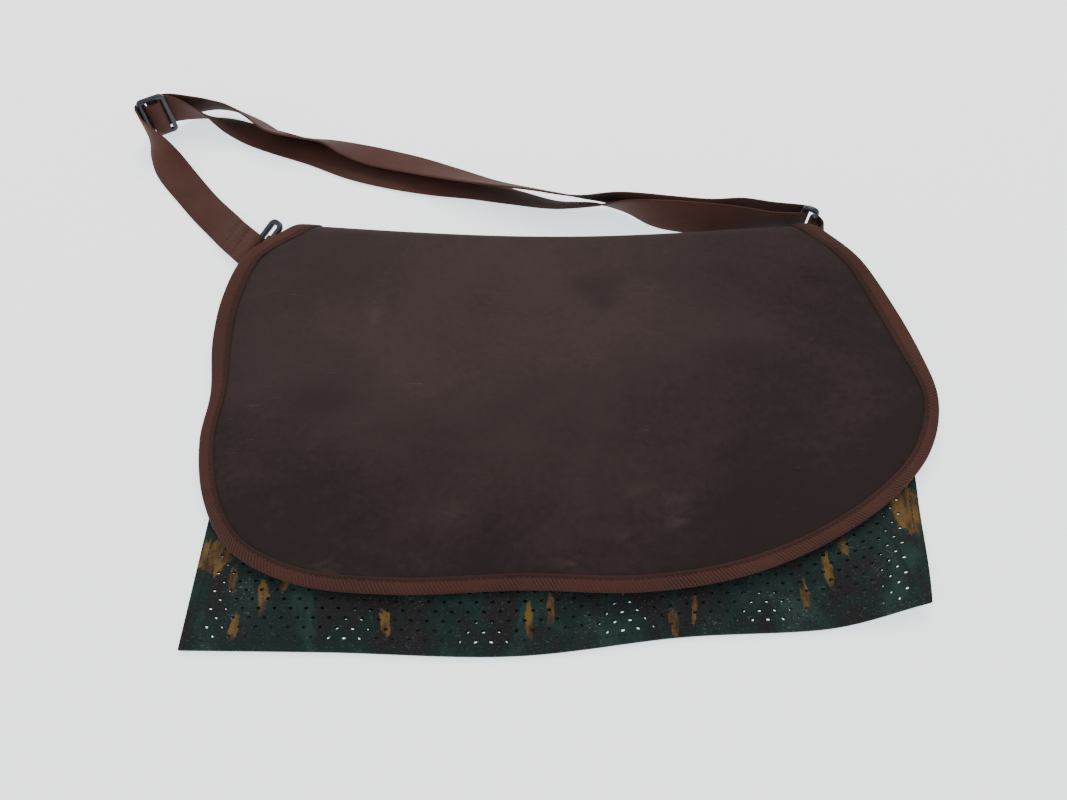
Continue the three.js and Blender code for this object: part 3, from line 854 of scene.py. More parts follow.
@dataclass(frozen=True)
class WovenBand:
    """Woven tape or webbing: crossing ridges on the band's own length and width, and coarse ribs if any."""

    name: str
    light: tuple
    dark: tuple
    ridge: float
    slant: float
    contrast: float
    depth: float
    rib: float = 0.0
    lip: float = 0.0
    lip_fade: float = 0.8
    rib_turn: float = 0.5
    rib_wear_scale: float = 55.0
    rib_wear_bounds: tuple = (0.75, 0.3)
    rib_low_bounds: tuple = (0.06, -0.05)
    rib_least: float = 0.3
    fade_scale: float = 14.0
    fade_share: float = 0.8
    lint_scale: float = 900.0
    lint_share: float = 0.25
    lint_height: float = 0.3
    tone_bounds: tuple = (0.35, 0.7)

    def ribs(self, graph: Graph) -> NodeSocket:
        """Coarse slanted ribs outside a smooth strip along the lip, flattened by wear in places and toward
        the fold.

        Args:
            graph: the material's nodes.

        Returns:
            The ribs' height, 0 on the lip and about a half beside it.
        """
        outside = graph.between(graph.part("UV", "Y"), self.lip * MM, (self.lip + self.lip_fade) * MM)
        rib = graph.wave("UV", "X", ridge_scale(self.rib), self.rib_turn)
        low = graph.between(graph.part("Object", "Y"), *self.rib_low_bounds)
        kept = graph.between(graph.cloud(self.rib_wear_scale, detail=3.0), *self.rib_wear_bounds)
        kept = graph.times(kept, graph.math("ADD", low, self.rib_least))
        rib = graph.times(graph.math("SUBTRACT", rib, 0.5), kept)
        return graph.times(outside, graph.math("ADD", rib, 0.5))

    def material(self) -> Material:
        """Two sets of ridges crossing at twice the slant over a cloudy, fading ground, with painted shade in
        the valleys.

        Returns:
            The material.
        """
        graph = Graph(self.name, roughness=0.85, specular=0.2, sheen=0.04)
        turns = (self.slant, -self.slant)
        ridges = [graph.wave("UV", "X", ridge_scale(self.ridge), turn) for turn in turns]
        weave = graph.times(graph.math("ADD", *ridges), 0.5)
        if self.rib:
            weave = graph.plus(self.ribs(graph), weave, 0.5)
        fade = graph.cloud(self.fade_scale, detail=5.0, rough=0.65)
        lint = graph.cloud(self.lint_scale, rough=0.6)
        # The weave's height sets its colour: painted shade in the valleys, lighter on the ridges.
        tone = graph.plus(graph.times(weave, self.contrast), fade, self.fade_share)
        tone = graph.plus(tone, lint, self.lint_share)
        low, high = self.tone_bounds
        colour = graph.colours(graph.between(tone, low, high + self.contrast), self.dark, self.light)
        return graph.finish(colour, graph.plus(weave, lint, self.lint_height), self.depth, strength=0.8)


@dataclass(frozen=True)
class MouldedPlastic:
    """Dark moulded plastic, faintly cloudy and scratched."""

    body: tuple = srgb(34, 37, 48)
    pale_tone: tuple = srgb(66, 68, 78)
    cloud_scale: float = 90.0
    pale_tone_bounds: tuple = (0.5, 0.8)
    skin_scale: float = 1600.0

    def material(self) -> Material:
        """Clouds of two greys under a fine pebbled skin.

        Returns:
            The material.
        """
        graph = Graph("moulded_plastic", roughness=0.34, specular=0.5)
        cloud = graph.cloud(self.cloud_scale, detail=4.0, rough=0.6)
        colour = graph.colours(graph.between(cloud, *self.pale_tone_bounds), self.body, self.pale_tone)
        return graph.finish(colour, graph.cloud(self.skin_scale), depth=0.05, strength=0.5)


@dataclass(frozen=True)
class SewingThread:
    """Dull twisted thread."""

    name: str
    light: tuple
    dark: tuple
    twist_scale: float = 1300.0
    light_bounds: tuple = (0.35, 0.65)

    def material(self) -> Material:
        """Fine clouds of two tones.

        Returns:
            The material.
        """
        graph = Graph(self.name, roughness=0.8, specular=0.2)
        twist = graph.cloud(self.twist_scale, rough=0.6)
        colour = graph.colours(graph.between(twist, *self.light_bounds), self.dark, self.light)
        return graph.finish(colour, twist, depth=0.1, strength=0.6)


# Pouch


@dataclass
class Pouch:
    """The flat pouch: two perforated panels sewn together at the sides and the bottom."""

    bottom: Array
    left_x: tuple = (-206.0, -200.0)
    left_y: tuple = (-139.0, 128.0)
    right_x: float = 200.5
    right_bulge: float = 15.0
    right_y: tuple = (-115.5, 135.0)
    mouth_y: float = 100.0
    back_top_y: float = 128.0
    cloth: float = 1.2
    shown_cloth: float = 0.8
    seam_gap: float = 0.3
    fullness_height: float = 11.0
    rise_length: float = 120.0
    mouth_share: float = 0.7
    corner_lift: float = 8.0
    corner_x: tuple = (140.0, 200.0)
    corner_y: tuple = (-50.0, -115.0)
    tail_step: float = 2.3
    tail_y: tuple = (74.0, 88.0)
    tail_x: tuple = (186.0, 202.0)
    ripples_from: tuple = (0.3, 3.0)
    ripples_y: tuple = (-80.0, -112.0)
    ripple_waves: tuple = ((0.9, 17.0, 40.0), (0.5, 7.5, -22.0))
    hole: tuple = (2.5, 1.8)
    pitch: tuple = (8.8, 5.0)
    edge_steps: int = 240
    seam_inset: float = 5.0
    seam_top: float = 0.97
    seam_probe: float = 0.004
    stitch_pitch: float = 3.4
    stitch: Stitch = Stitch(length=2.4, radius=0.28, lift=0.1)

    def left(self, y: Array) -> Array:
        """Left side's x: a straight line in y."""
        return mix(self.left_x[0], self.left_x[1], (y - self.left_y[0]) / (self.left_y[1] - self.left_y[0]))

    def right(self, y: Array) -> Array:
        """Right side's x: a half sine wave bulging out."""
        share = np.clip((y - self.right_y[0]) / (self.right_y[1] - self.right_y[0]), 0.0, 1.0)
        return self.right_x + self.right_bulge * np.sin(np.pi * share)

    def back_height(self, x: Array, y: Array) -> Array:
        """Back panel's middle: flat, stepped up over the flap's tail and up at the rucked corner.

        Args:
            x: places across the pouch.
            y: places up it.

        Returns:
            The heights.
        """
        tail = ramp(y, *self.tail_y) * (1.0 - ramp(np.abs(x), *self.tail_x))
        corner = ramp(x, *self.corner_x) * ramp(y, *self.corner_y)
        return self.cloth / 2 + self.tail_step * tail + self.corner_lift * corner

    def fullness(self, x: Array, y: Array) -> Array:
        """Hollow under the front: a cubic crown across and a parabola up from the bottom seam.

        Args:
            x: places across the pouch.
            y: places up it.

        Returns:
            The hollow's height.
        """
        across = np.clip((x - self.left(y)) / (self.right(y) - self.left(y)), 0.0, 1.0)
        rise = np.clip((y - spline(self.bottom, across)[..., 1]) / self.rise_length, 0.0, 1.0)
        mouth = mix(1.0, self.mouth_share, ramp(y, 0.0, self.mouth_y))
        return self.fullness_height * (1 - np.abs(2 * across - 1) ** 3) * (1 - (1 - rise) ** 2) * mouth

    def front_height(self, x: Array, y: Array) -> Array:
        """Front panel's middle: over the back panel by one cloth, a gap and the hollow."""
        return self.back_height(x, y) + self.cloth + self.seam_gap + self.fullness(x, y)

    def shown_front(self, x: Array, y: Array) -> Array:
        """Front panel as it shows: soft folds below the flap, as crossed waves that die out at the seams."""
        fade = ramp(self.fullness(x, y), *self.ripples_from) * ramp(y, *self.ripples_y)
        return self.front_height(x, y) + fade * waves(x, y, self.ripple_waves)

    def place(self, share: Array, rise: Array, top_y: float, height: Callable) -> Array:
        """Point of a panel: y runs from the bottom edge to the top, x from the left side to the right.

        Args:
            share: shares of the way from left to right.
            rise: shares of the way from the bottom to the top.
            top_y: the panel's top edge.
            height: its height over a place.

        Returns:
            The points.
        """
        edge = spline(self.bottom, np.linspace(0.0, 1.0, self.edge_steps + 1))
        edge_share = (edge[:, 0] - self.left_x[0]) / (self.right_x - self.left_x[0])
        y = mix(np.interp(share, edge_share, edge[:, 1]), top_y, rise)
        x = mix(self.left(y), self.right(y), share)
        return np.stack([x, y, height(x, y)], axis=-1)

    def cells(self, columns: int, rows: int) -> tuple:
        """Staggered cells on a lattice of half cells, each eight quads between its outline and an oval hole.

        Cells at the panel's edges are four full quads, and half cells fill the ends of the shifted rows.

        Args:
            columns: cells in an unshifted row.
            rows: rows of cells.

        Returns:
            Shares across and up the panel for each vertex, and four vertex numbers for each quad.
        """
        wide = 2 * columns + 1
        row, column = (g.ravel() for g in np.indices((rows, columns)))
        keep = (row % 2 == 0) | (column < columns - 1)
        row, column = row[keep], column[keep]
        corner = np.stack([2 * column + row % 2, 2 * row], axis=1)
        outline = corner[:, None] + CELL_RING[None]
        number = outline[..., 1] * wide + outline[..., 0]
        at_edge = (corner[:, 0] < 2) | (corner[:, 0] > wide - 5) | (row == 0) | (row == rows - 1)
        angle = np.radians(-135.0 + 45.0 * np.arange(8))
        oval = np.stack([np.cos(angle), np.sin(angle)], axis=1) * self.hole / self.pitch
        holes = (corner[~at_edge][:, None] + 1.0 + oval[None]).reshape(-1, 2)
        lattice = np.stack(np.meshgrid(np.arange(wide), np.arange(2 * rows + 1)), axis=-1).reshape(-1, 2)
        inner = len(lattice) + np.arange(len(holes)).reshape(-1, 8)
        pierced = number[~at_edge]
        around = np.stack([pierced, np.roll(pierced, -1, 1), np.roll(inner, -1, 1), inner], axis=2)
        full = number[at_edge]
        middle = np.repeat(full[:, :1] + wide + 1, 4, axis=1)
        before = np.roll(full, 1, 1)[:, 0::2]
        quarters = np.stack([full[:, 0::2], full[:, 1::2], middle, before], axis=2)
        side = np.arange(1, rows, 2)[:, None] * 2 * wide + np.array([0, wide, wide - 2, 2 * wide - 2])[None]
        halves = np.stack([side, side + 1, side + wide + 1, side + wide], axis=2)
        quads = np.vstack([q.reshape(-1, 4) for q in (around, quarters, halves)])
        used, numbers = np.unique(quads, return_inverse=True)
        return np.vstack([lattice, holes])[used] / [wide - 1, 2 * rows], numbers.reshape(-1, 4)

    def panel(self, name: str, top_y: float, height: Callable, more_columns: int = 0) -> Piece:
        """A perforated panel as a thin sheet.

        Args:
            name: the piece's name.
            top_y: the panel's top edge.
            height: its height over a place.
            more_columns: extra columns of holes, so that two panels' holes meet only here and there.

        Returns:
            The panel.
        """
        columns = round((self.right_x - self.left_x[0]) / self.pitch[0]) + more_columns
        rows = round((top_y - self.bottom[:, 1].min()) / self.pitch[1])
        shares, quads = self.cells(columns, rows)
        places = self.place(shares[:, 0], shares[:, 1], top_y, height)
        return thicken(make_piece(name, places, quads.tolist(), smooth=False, closed=False), self.shown_cloth)

    def seam_stitches(self, thread: Material) -> Piece:
        """Stitches a little in from the sides and the bottom of the front panel.

        Args:
            thread: the stitches' finish.

        Returns:
            One piece with every stitch.
        """
        size = np.array([self.right_x - self.left_x[0], self.mouth_y - self.bottom[:, 1].min()])
        inset = self.seam_inset / size
        counts = (size / self.stitch_pitch).astype(int)
        up = np.linspace(inset[1], self.seam_top, counts[1])
        along = np.linspace(inset[0], 1.0 - inset[0], counts[0])
        share = np.concatenate([np.full_like(up, inset[0]), along, np.full_like(up, 1.0 - inset[0])])
        rise = np.concatenate([up, np.full_like(along, inset[1]), up])
        parts = [len(up), len(along), len(up)]
        sideways = np.repeat([0.0, self.seam_probe, 0.0], parts)
        upward = np.repeat([self.seam_probe, 0.0, self.seam_probe], parts)
        probes = ((0.0, 0.0), (sideways, upward), (upward, -sideways))
        at, ahead, beside = (self.place(share + a, rise + b, self.mouth_y, self.shown_front)
                             for a, b in probes)
        normal = unit(np.cross(ahead - at, beside - at))
        normal *= np.sign(normal[:, 2:])
        on_cloth = at + normal * self.shown_cloth / 2
        return dress(self.stitch.row("pouch_seam_stitches", on_cloth, ahead - at, normal), thread, Slot.MESH)

    def build(self, cloth: CamouflageCloth, thread: Material) -> None:
        """Makes both panels and their seam.

        Args:
            cloth: the panels' finish.
            thread: the seam's finish.
        """
        back = self.panel("back_mesh", self.back_top_y, self.back_height, more_columns=5)
        dress(back, cloth.material("camouflage_back", shift=0.9, inner_side=1.0), Slot.MESH, "back_panel")
        front = self.panel("front_mesh", self.mouth_y, self.shown_front)
        dress(front, cloth.material("camouflage_front", shift=0.0, inner_side=-1.0), Slot.MESH, "front_panel")
        seam = self.seam_stitches(thread)


# Flap


@dataclass
class Flap:
    """The suede flap: a tail under the back panel, a fold over the mouth, and the bound front."""

    pouch: Pouch
    edge: Array
    dents: Array
    low_left: float = 0.335
    low_right: float = 0.67
    tail_end_y: float = 106.0
    tail_x: tuple = (-171.0, 168.0)
    fold_y_middle: float = 133.0
    fold_end_rise: float = 3.0
    fold_half_width: float = 178.0
    flare: tuple = (14.0, 12.0)
    lift_middle: float = 2.5
    lift_end: float = 15.0
    lift_reach: float = 55.0
    gap: float = 2.4
    right_lift: float = 6.0
    right_lift_x: tuple = (150.0, 232.0)
    right_lift_y: tuple = (20.0, 75.0)
    wave_height: float = 1.2
    wave_length: float = 290.0
    wave_y: tuple = (-50.0, -105.0)
    crease_waves: tuple = ((0.25, 31.0, 47.0), (0.2, -83.0, 19.0))
    crease_margins: tuple = (0.12, 0.08)
    crease_rows: float = 2.0
    suede: float = 2.0
    tail_rows: float = 2.0
    fold_rows: float = 8.0
    front_rows: float = 16.0
    columns: int = 150
    rows: int = 210
    stitch: Stitch = Stitch(length=2.4, radius=0.14, lift=0.0)
    stitch_count: int = 100
    stitch_span: tuple = (0.02, 0.98)
    stitch_rows: tuple = (0.2, 0.7)
    stitch_height: float = 0.15

    @property
    def back_rows(self) -> float:
        """Rows of the tail and the fold together."""
        return self.tail_rows + self.fold_rows

    @property
    def all_rows(self) -> float:
        """Rows of the whole flap."""
        return self.back_rows + self.front_rows

    def fold_y(self, x: Array) -> Array:
        """Where the fold turns: a shallow parabola."""
        return self.fold_y_middle + self.fold_end_rise * (x / self.fold_half_width) ** 2

    def height(self, x: Array, y: Array) -> Array:
        """Suede's middle over the pouch: Gaussian rises at the fold and the right edge, and a waved bottom.

        Args:
            x: places across the flap.
            y: places up it.

        Returns:
            The heights.
        """
        end = np.minimum((x / self.fold_half_width) ** 2, 1.0)
        near_fold = np.exp(-(((self.fold_y(x) - y) / self.lift_reach) ** 2))
        near_right = np.exp(-(((y - self.right_lift_y[0]) / self.right_lift_y[1]) ** 2))
        wave = np.sin(2 * np.pi * x / self.wave_length) + 1.0
        under = self.pouch.front_height(x, np.minimum(y, self.pouch.tail_y[0])) + self.pouch.cloth / 2
        return (under + self.gap + self.suede / 2 + mix(self.lift_middle, self.lift_end, end) * near_fold
                + self.right_lift * ramp(x, *self.right_lift_x) * near_right
                + self.wave_height * wave * ramp(y, *self.wave_y))

    def creases(self, x: Array, y: Array) -> Array:
        """Shallow dents and creases of the worn suede: Gaussian dents and slow crossed waves.

        Args:
            x: places across the flap.
            y: places up it.

        Returns:
            Heights over the plain suede.
        """
        total = waves(x, y, self.crease_waves)
        for at_x, at_y, wide, tall, depth in self.dents.tolist():
            total = total + depth * np.exp(-(((x - at_x) / wide) ** 2) - ((y - at_y) / tall) ** 2)
        return total

    def front(self, u: Array, v: Array) -> Array:
        """Front: the blend of its four edge curves less the blend of their corners, raised to its height.

        Args:
            u: shares of the way across.
            v: shares of the way from the fold to the bottom.

        Returns:
            The points.
        """
        ends = spline_by_length(self.edge, np.array([0.0, 1.0, self.low_left, self.low_right]))
        start, finish, low_left, low_right = ends
        x = mix(start[0], finish[0], u)
        top = np.stack([x, self.fold_y(x), np.zeros_like(x)], axis=-1)
        left = spline_by_length(self.edge, self.low_left * v)
        right = spline_by_length(self.edge, 1.0 - (1.0 - self.low_right) * v)
        low = spline_by_length(self.edge, mix(self.low_left, self.low_right, u))
        u, v = u[..., None], v[..., None]
        corners = mix(mix(start, finish, u), mix(low_left, low_right, u), v)
        place = mix(left, right, u) + mix(top, low, v) - corners
        place[..., 2] = self.height(place[..., 0], place[..., 1])
        return place

    def back(self, u: Array, row: Array) -> Array:
        """Tail and fold: a flat strip, then a half circle whose radius is half the flap's height there.

        Args:
            u: shares of the way across.
            row: rows from the tail's end.

        Returns:
            The points.
        """
        turn = np.pi * (1.0 - np.maximum(row - self.tail_rows, 0.0) / self.fold_rows)
        flare = 1.0 - np.sin(np.minimum(turn, np.pi / 2))
        x = mix(self.tail_x[0] - self.flare[0] * flare, self.tail_x[1] + self.flare[1] * flare, u)
        radius = (self.height(x, self.fold_y(x)) - self.suede / 2) / 2
        strip = mix(self.tail_end_y, self.fold_y(x), np.minimum(row / self.tail_rows, 1.0))
        z = self.suede / 2 + radius * (1.0 + np.cos(turn))
        return np.stack([x, strip + radius * np.sin(turn), z], axis=-1)

    def surface(self, u: Array, v: Array) -> Array:
        """Point of the suede's middle.

        Args:
            u: shares of the way across.
            v: shares of the way from the tail's end to the bottom edge.

        Returns:
            The points.
        """
        u, v = np.broadcast_arrays(u, v)
        row = v * self.all_rows
        behind = self.back(u, np.minimum(row, self.back_rows))
        front = self.front(u, np.clip((row - self.back_rows) / self.front_rows, 0.0, 1.0))
        return np.where((row < self.back_rows)[..., None], behind, front)

    def front_normal(self, x: Array, y: Array, step: float = 0.5) -> Array:
        """Upward normal of the front, from its height's slopes.

        Args:
            x: places across the flap.
            y: places up it.
            step: distance to each side at which the height is taken.

        Returns:
            The unit normals.
        """
        slope_x = (self.height(x + step, y) - self.height(x - step, y)) / (2 * step)
        slope_y = (self.height(x, y + step) - self.height(x, y - step)) / (2 * step)
        return unit(np.stack([-slope_x, -slope_y, np.ones_like(slope_x)], axis=-1))

    def normal(self, u: Array, v: Array, step: float = 0.002) -> Array:
        """Outer normal: by slope on the front, by steps along u and v round the fold.

        Args:
            u: shares of the way across.
            v: shares of the way from the tail's end to the bottom edge.
            step: step in u and v.

        Returns:
            The unit normals.
        """
        place = self.surface(u, v)
        along_u = self.surface(np.minimum(u + step, 1), v) - self.surface(np.maximum(u - step, 0), v)
        along_v = self.surface(u, np.minimum(v + step, 1)) - self.surface(u, np.maximum(v - step, 0))
        behind = unit(np.cross(along_v, along_u))
        front = self.front_normal(place[..., 0], place[..., 1])
        return np.where((v * self.all_rows < self.back_rows)[..., None], behind, front)

    def suede_sheet(self) -> Piece:
        """The suede as one fine sheet, creased away from its edges.

        Returns:
            The sheet.
        """
        v = np.linspace(0.0, 1.0, self.rows + 1)[:, None]
        u = np.linspace(0.0, 1.0, self.columns + 1)[None, :]
        place = self.surface(u, v)
        side, low = self.crease_margins
        inside = ramp(u, 0.0, side) * ramp(u, 1.0, 1.0 - side) * ramp(v, 1.0, 1.0 - low)
        on_front = ramp(v * self.all_rows, self.back_rows, self.back_rows + self.crease_rows)
        place[..., 2] += self.creases(place[..., 0], place[..., 1]) * inside * on_front
        quads = grid_quads(self.rows + 1, self.columns + 1)
        piece = make_piece("suede_flap", place.reshape(-1, 3), quads.tolist(), closed=False)
        return thicken(piece, self.suede)

    def tail_stitches(self, thread: Material) -> Piece:
        """Two rows of stitches that hold the tail under the back panel, on its lower side.

        Args:
            thread: the stitches' finish.

        Returns:
            One piece with every stitch.
        """
        u = np.tile(np.linspace(*self.stitch_span, self.stitch_count), len(self.stitch_rows))
        v = np.repeat(self.stitch_rows, self.stitch_count) * self.tail_rows / self.all_rows
        at = self.surface(u, v)
        at[:, 2] = self.stitch_height
        along, down = (np.tile(direction, (len(at), 1)) for direction in ([1.0, 0.0, 0.0], -UP))
        return dress(self.stitch.row("tail_stitches", at, along, down), thread, Slot.SUEDE)

    def build(self, finish: WornSuede, thread: Material) -> None:
        """Makes the suede and its stitches.

        Args:
            finish: the suede's finish.
            thread: the stitches' finish.
        """
        sheet = dress(self.suede_sheet(), finish.material(), Slot.SUEDE, "flap")
        stitches = self.tail_stitches(thread)


@dataclass
class Binding:
    """The tape folded round the flap's free edge."""

    flap: Flap
    width: float = 8.6
    bottom_share: float = 0.88
    side_gain: float = 0.42
    side_y: tuple = (0.0, 60.0)
    end_loss: float = 0.3
    end_y: tuple = (95.0, 132.0)
    tape: float = 0.8
    slack: float = 0.12
    start_row: float = 4.0
    lean_rows: tuple = (0.5, 3.0)
    lean_step: float = 1.0 / 24.0
    least_reach: float = 1.0
    bend_points: tuple = (9, 7)
    bend_share: float = 0.75
    hollow_share: float = 0.4
    lip_round: tuple = (0.5, 0.45)
    groove: float = 2.6
    groove_half: float = 0.9
    groove_depth: float = 0.4
    swell: tuple = (3.0, 0.1)
    side_steps: int = 150
    bottom_steps: int = 240
    stitch: Stitch = Stitch(length=2.5, radius=0.3, lift=0.12)
    stitch_pitch: float = 3.3
    stitch_sink: float = 0.3

    def edge(self) -> tuple:
        """Way along the free edge, from behind one end of the fold to behind the other.

        Returns:
            The flap's parameters u and v on it.
        """
        rows = np.linspace(self.start_row / self.flap.all_rows, 1.0, self.side_steps, endpoint=False)
        across = np.linspace(0.0, 1.0, self.bottom_steps + 1)
        u = np.concatenate([np.zeros_like(rows), across, np.ones_like(rows)])
        v = np.concatenate([rows, np.ones_like(across), rows[::-1]])
        return u, v

    def profile(self) -> Array:
        """U-shaped section, a half ellipse outside and one inside, with a sewn groove on both sides.

        Returns:
            Its points, x inward from the suede's edge and y through it.
        """
        inner = self.flap.suede / 2 + self.slack
        outer = inner + self.tape
        bend, hollow = (np.radians(np.linspace(90.0, 270.0, points)) for points in self.bend_points)
        turn = np.stack([outer * np.cos(bend) * self.bend_share - self.slack, outer * np.sin(bend)], axis=1)
        inside = np.stack([inner * np.cos(hollow) * self.hollow_share, inner * np.sin(hollow)], axis=1)
        line = self.width - self.groove
        over = np.array([[self.width, outer - self.lip_round[1]], [self.width - self.lip_round[0], outer],
                         [line + self.groove_half, outer], [line, outer - self.groove_depth],
                         [line - self.groove_half, outer], [line - self.swell[0], outer + self.swell[1]]])
        lip = np.array([[self.width, inner]])
        return np.vstack([over, turn, over[::-1] * [1, -1], lip * [1, -1], inside[::-1], lip])

    def shown(self, y: Array) -> Array:
        """Width of tape on the suede: more along the flap's sides than at the bottom and the fold's ends."""
        return self.width * (self.bottom_share + self.side_gain * ramp(y, *self.side_y)
                             - self.end_loss * ramp(y, *self.end_y))

    def stations(self) -> tuple:
        """Stations along the edge, with the tape's lip laid on the suede a tape's width inward.

        Returns:
            Edge places, normals and inward directions, and the lip's places and normals.
        """
        flap = self.flap
        u, v = self.edge()
        place = flap.surface(u, v)
        normal = flap.normal(u, v)
        inward = unit(np.cross(normal, unit(np.gradient(place, axis=0))))
        inner_u = np.abs(u - self.lean_step)
        toward = flap.surface(inner_u, v) - place
        reach = np.sum(toward * inward, axis=1, keepdims=True)
        shown = self.shown(place[:, 1:2])
        lean = place + toward * shown / np.maximum(reach, self.least_reach)
        over = place + inward * shown
        over[:, 2] = flap.height(over[:, 0], over[:, 1])
        front = ramp((v * flap.all_rows - flap.back_rows)[:, None], *self.lean_rows)
        lip = np.where(front > 0, mix(lean, over, front), lean)
        lip_normal = np.where(front > 0, flap.front_normal(lip[:, 0], lip[:, 1]), flap.normal(inner_u, v))
        return place, normal, inward, lip, lip_normal

    def build(self, material: Material, thread: Material) -> None:
        """Carries the section round the edge, bending it to the suede, and sews it down.

        Args:
            material: the tape's finish.
            thread: the stitches' finish.
        """
        place, normal, inward, lip, lip_normal = self.stations()
        profile = self.profile()
        over = (np.maximum(profile[:, 0], 0.0) / self.width)[None, :, None]
        turned = unit(mix(normal[:, None], lip_normal[:, None], over))
        places = (mix(place[:, None], lip[:, None], over)
                  + inward[:, None] * np.minimum(profile[:, 0], 0.0)[None, :, None]
                  + turned * profile[:, 1][None, :, None])
        count, points = places.shape[:2]
        faces = grid_quads(count, points, round_columns=True).tolist() + end_caps(count, points)
        sides = swept_uv(length_along(place), length_along(np.vstack([profile, profile[:1]])))
        corner_uv = np.vstack([sides, np.zeros((2 * points, 2))])
        piece = make_piece("bound_edge", places.reshape(-1, 3), faces, corner_uv * MM)
        dress(piece, material, Slot.TAPE, "flap_binding")
        share = 1.0 - self.groove / self.width
        self.sew(mix(place, lip, share), unit(mix(normal, lip_normal, share)), thread)

    def sew(self, line: Array, normal: Array, thread: Material) -> None:
        """Stitches lying in the groove on the outer side.

        Args:
            line: the suede's middle under the groove.
            normal: its normals.
            thread: the stitches' finish.
        """
        height = self.flap.suede / 2 + self.slack + self.tape - self.stitch_sink
        at = line + normal * height
        frames = Frames(at, unit(np.gradient(at, axis=0)), normal, normal)
        lengths = np.arange(self.stitch_pitch, length_along(at)[-1] - self.stitch_pitch, self.stitch_pitch)
        spots = frames.between(lengths)
        dress(self.stitch.row("binding_stitches", spots.at, spots.along, spots.through), thread, Slot.TAPE)


# Hardware


@dataclass
class Ring:
    """A moulded rectangular ring between the strap and a tab."""

    name: str
    bar_at: Array
    outward: Array
    up_bar: Array
    length: float
    strap_shift: float = 0.0
    spacing: float = 8.4
    corner: float = 3.2
    wire: float = 3.8
    wire_depth: float = 0.92
    wire_round: float = 1.2
    wrap: float = 2.9

    def __post_init__(self) -> None:
        """Works out the ring's own axes: outward, through and along its bars."""
        self.first = unit(self.outward)
        self.bar = unit(self.up_bar - self.first * np.dot(self.up_bar, self.first))
        self.second = np.cross(self.bar, self.first)
        self.strap_at = self.bar_at + self.bar * self.strap_shift

    def round_bar(self, at: Array, start: float, end: float, steps: int) -> list:
        """Controls on part of a circle round a bar, each a place and the bar's direction.

        Args:
            at: a point of the bar.
            start: the first control's angle in degrees.
            end: the last one's.
            steps: number of steps between them.

        Returns:
            The controls.
        """
        angle = np.radians(np.linspace(start, end, steps + 1))[:, None]
        places = at + self.wrap * (np.cos(angle) * self.first + np.sin(angle) * self.second)
        return [(place, self.bar) for place in places]

    def build(self, material: Material) -> None:
        """Carries a round-cornered section round a rectangle with bent corners.

        Args:
            material: the ring's finish.
        """
        loop = rounded_profile(self.spacing, self.length, self.corner, bend=8)
        centre = self.bar_at - self.first * self.spacing / 2
        frames = Frames.of_loop(centre, self.first, self.bar, self.second, loop)
        section = rounded_profile(self.wire, self.wire * self.wire_depth, self.wire_round)
        dress(sweep(self.name + "_moulded", frames, section, ring=True), material, Slot.PLASTIC, self.name)


@dataclass
class Slide:
    """The three-bar slide that sets the strap's length, standing on edge."""

    centre: Array
    toward_ring: Array
    half_depth: float = 10.6
    half_height: float = 17.0
    thickness: float = 3.0
    frame_width: float = 3.4
    frame_round: float = 0.9
    corner: float = 2.4
    middle_width: float = 3.0
    middle_round: float = 0.8
    middle_inset: float = 2.2
    middle_stations: int = 41

    def __post_init__(self) -> None:
        """Works out the slide's own axes: along it and toward its front."""
        self.first = unit(self.toward_ring)
        self.second = np.cross(self.first, UP)

    def at(self, along: float, front: float) -> tuple:
        """A control in the slide's plane, with the webbing on edge."""
        return self.centre + self.first * along + self.second * front, UP

    def round_middle(self, radius: float, start: float, end: float, steps: int) -> list:
        """Controls on part of a circle round the middle bar, between two angles in degrees."""
        angle = np.radians(np.linspace(start, end, steps + 1))
        return [self.at(radius * np.cos(a), radius * np.sin(a)) for a in angle]

    def build(self, material: Material) -> None:
        """A round-cornered frame swept about the slide's edge, and a straight bar across its middle.

        Args:
            material: the slide's finish.
        """
        depth, height = (2 * (half - self.frame_width / 2) for half in (self.half_depth, self.half_height))
        loop = rounded_profile(depth, height, self.corner, bend=8)
        frames = Frames.of_loop(self.centre, self.first, UP, self.second, loop)
        section = rounded_profile(self.frame_width, self.thickness, self.frame_round, bend=3)
        dress(sweep("slide_frame", frames, section, ring=True), material, Slot.PLASTIC, "adjuster")
        reach = self.half_height - self.middle_inset
        rise = np.linspace(-reach, reach, self.middle_stations)[:, None]
        axes = (np.tile(axis, (len(rise), 1)) for axis in (UP, self.first, self.second))
        section = rounded_profile(self.middle_width, self.thickness, self.middle_round, bend=3)
        bar = sweep("slide_middle_bar", Frames(self.centre + UP * rise, *axes), section)
        dress(bar, material, Slot.PLASTIC)


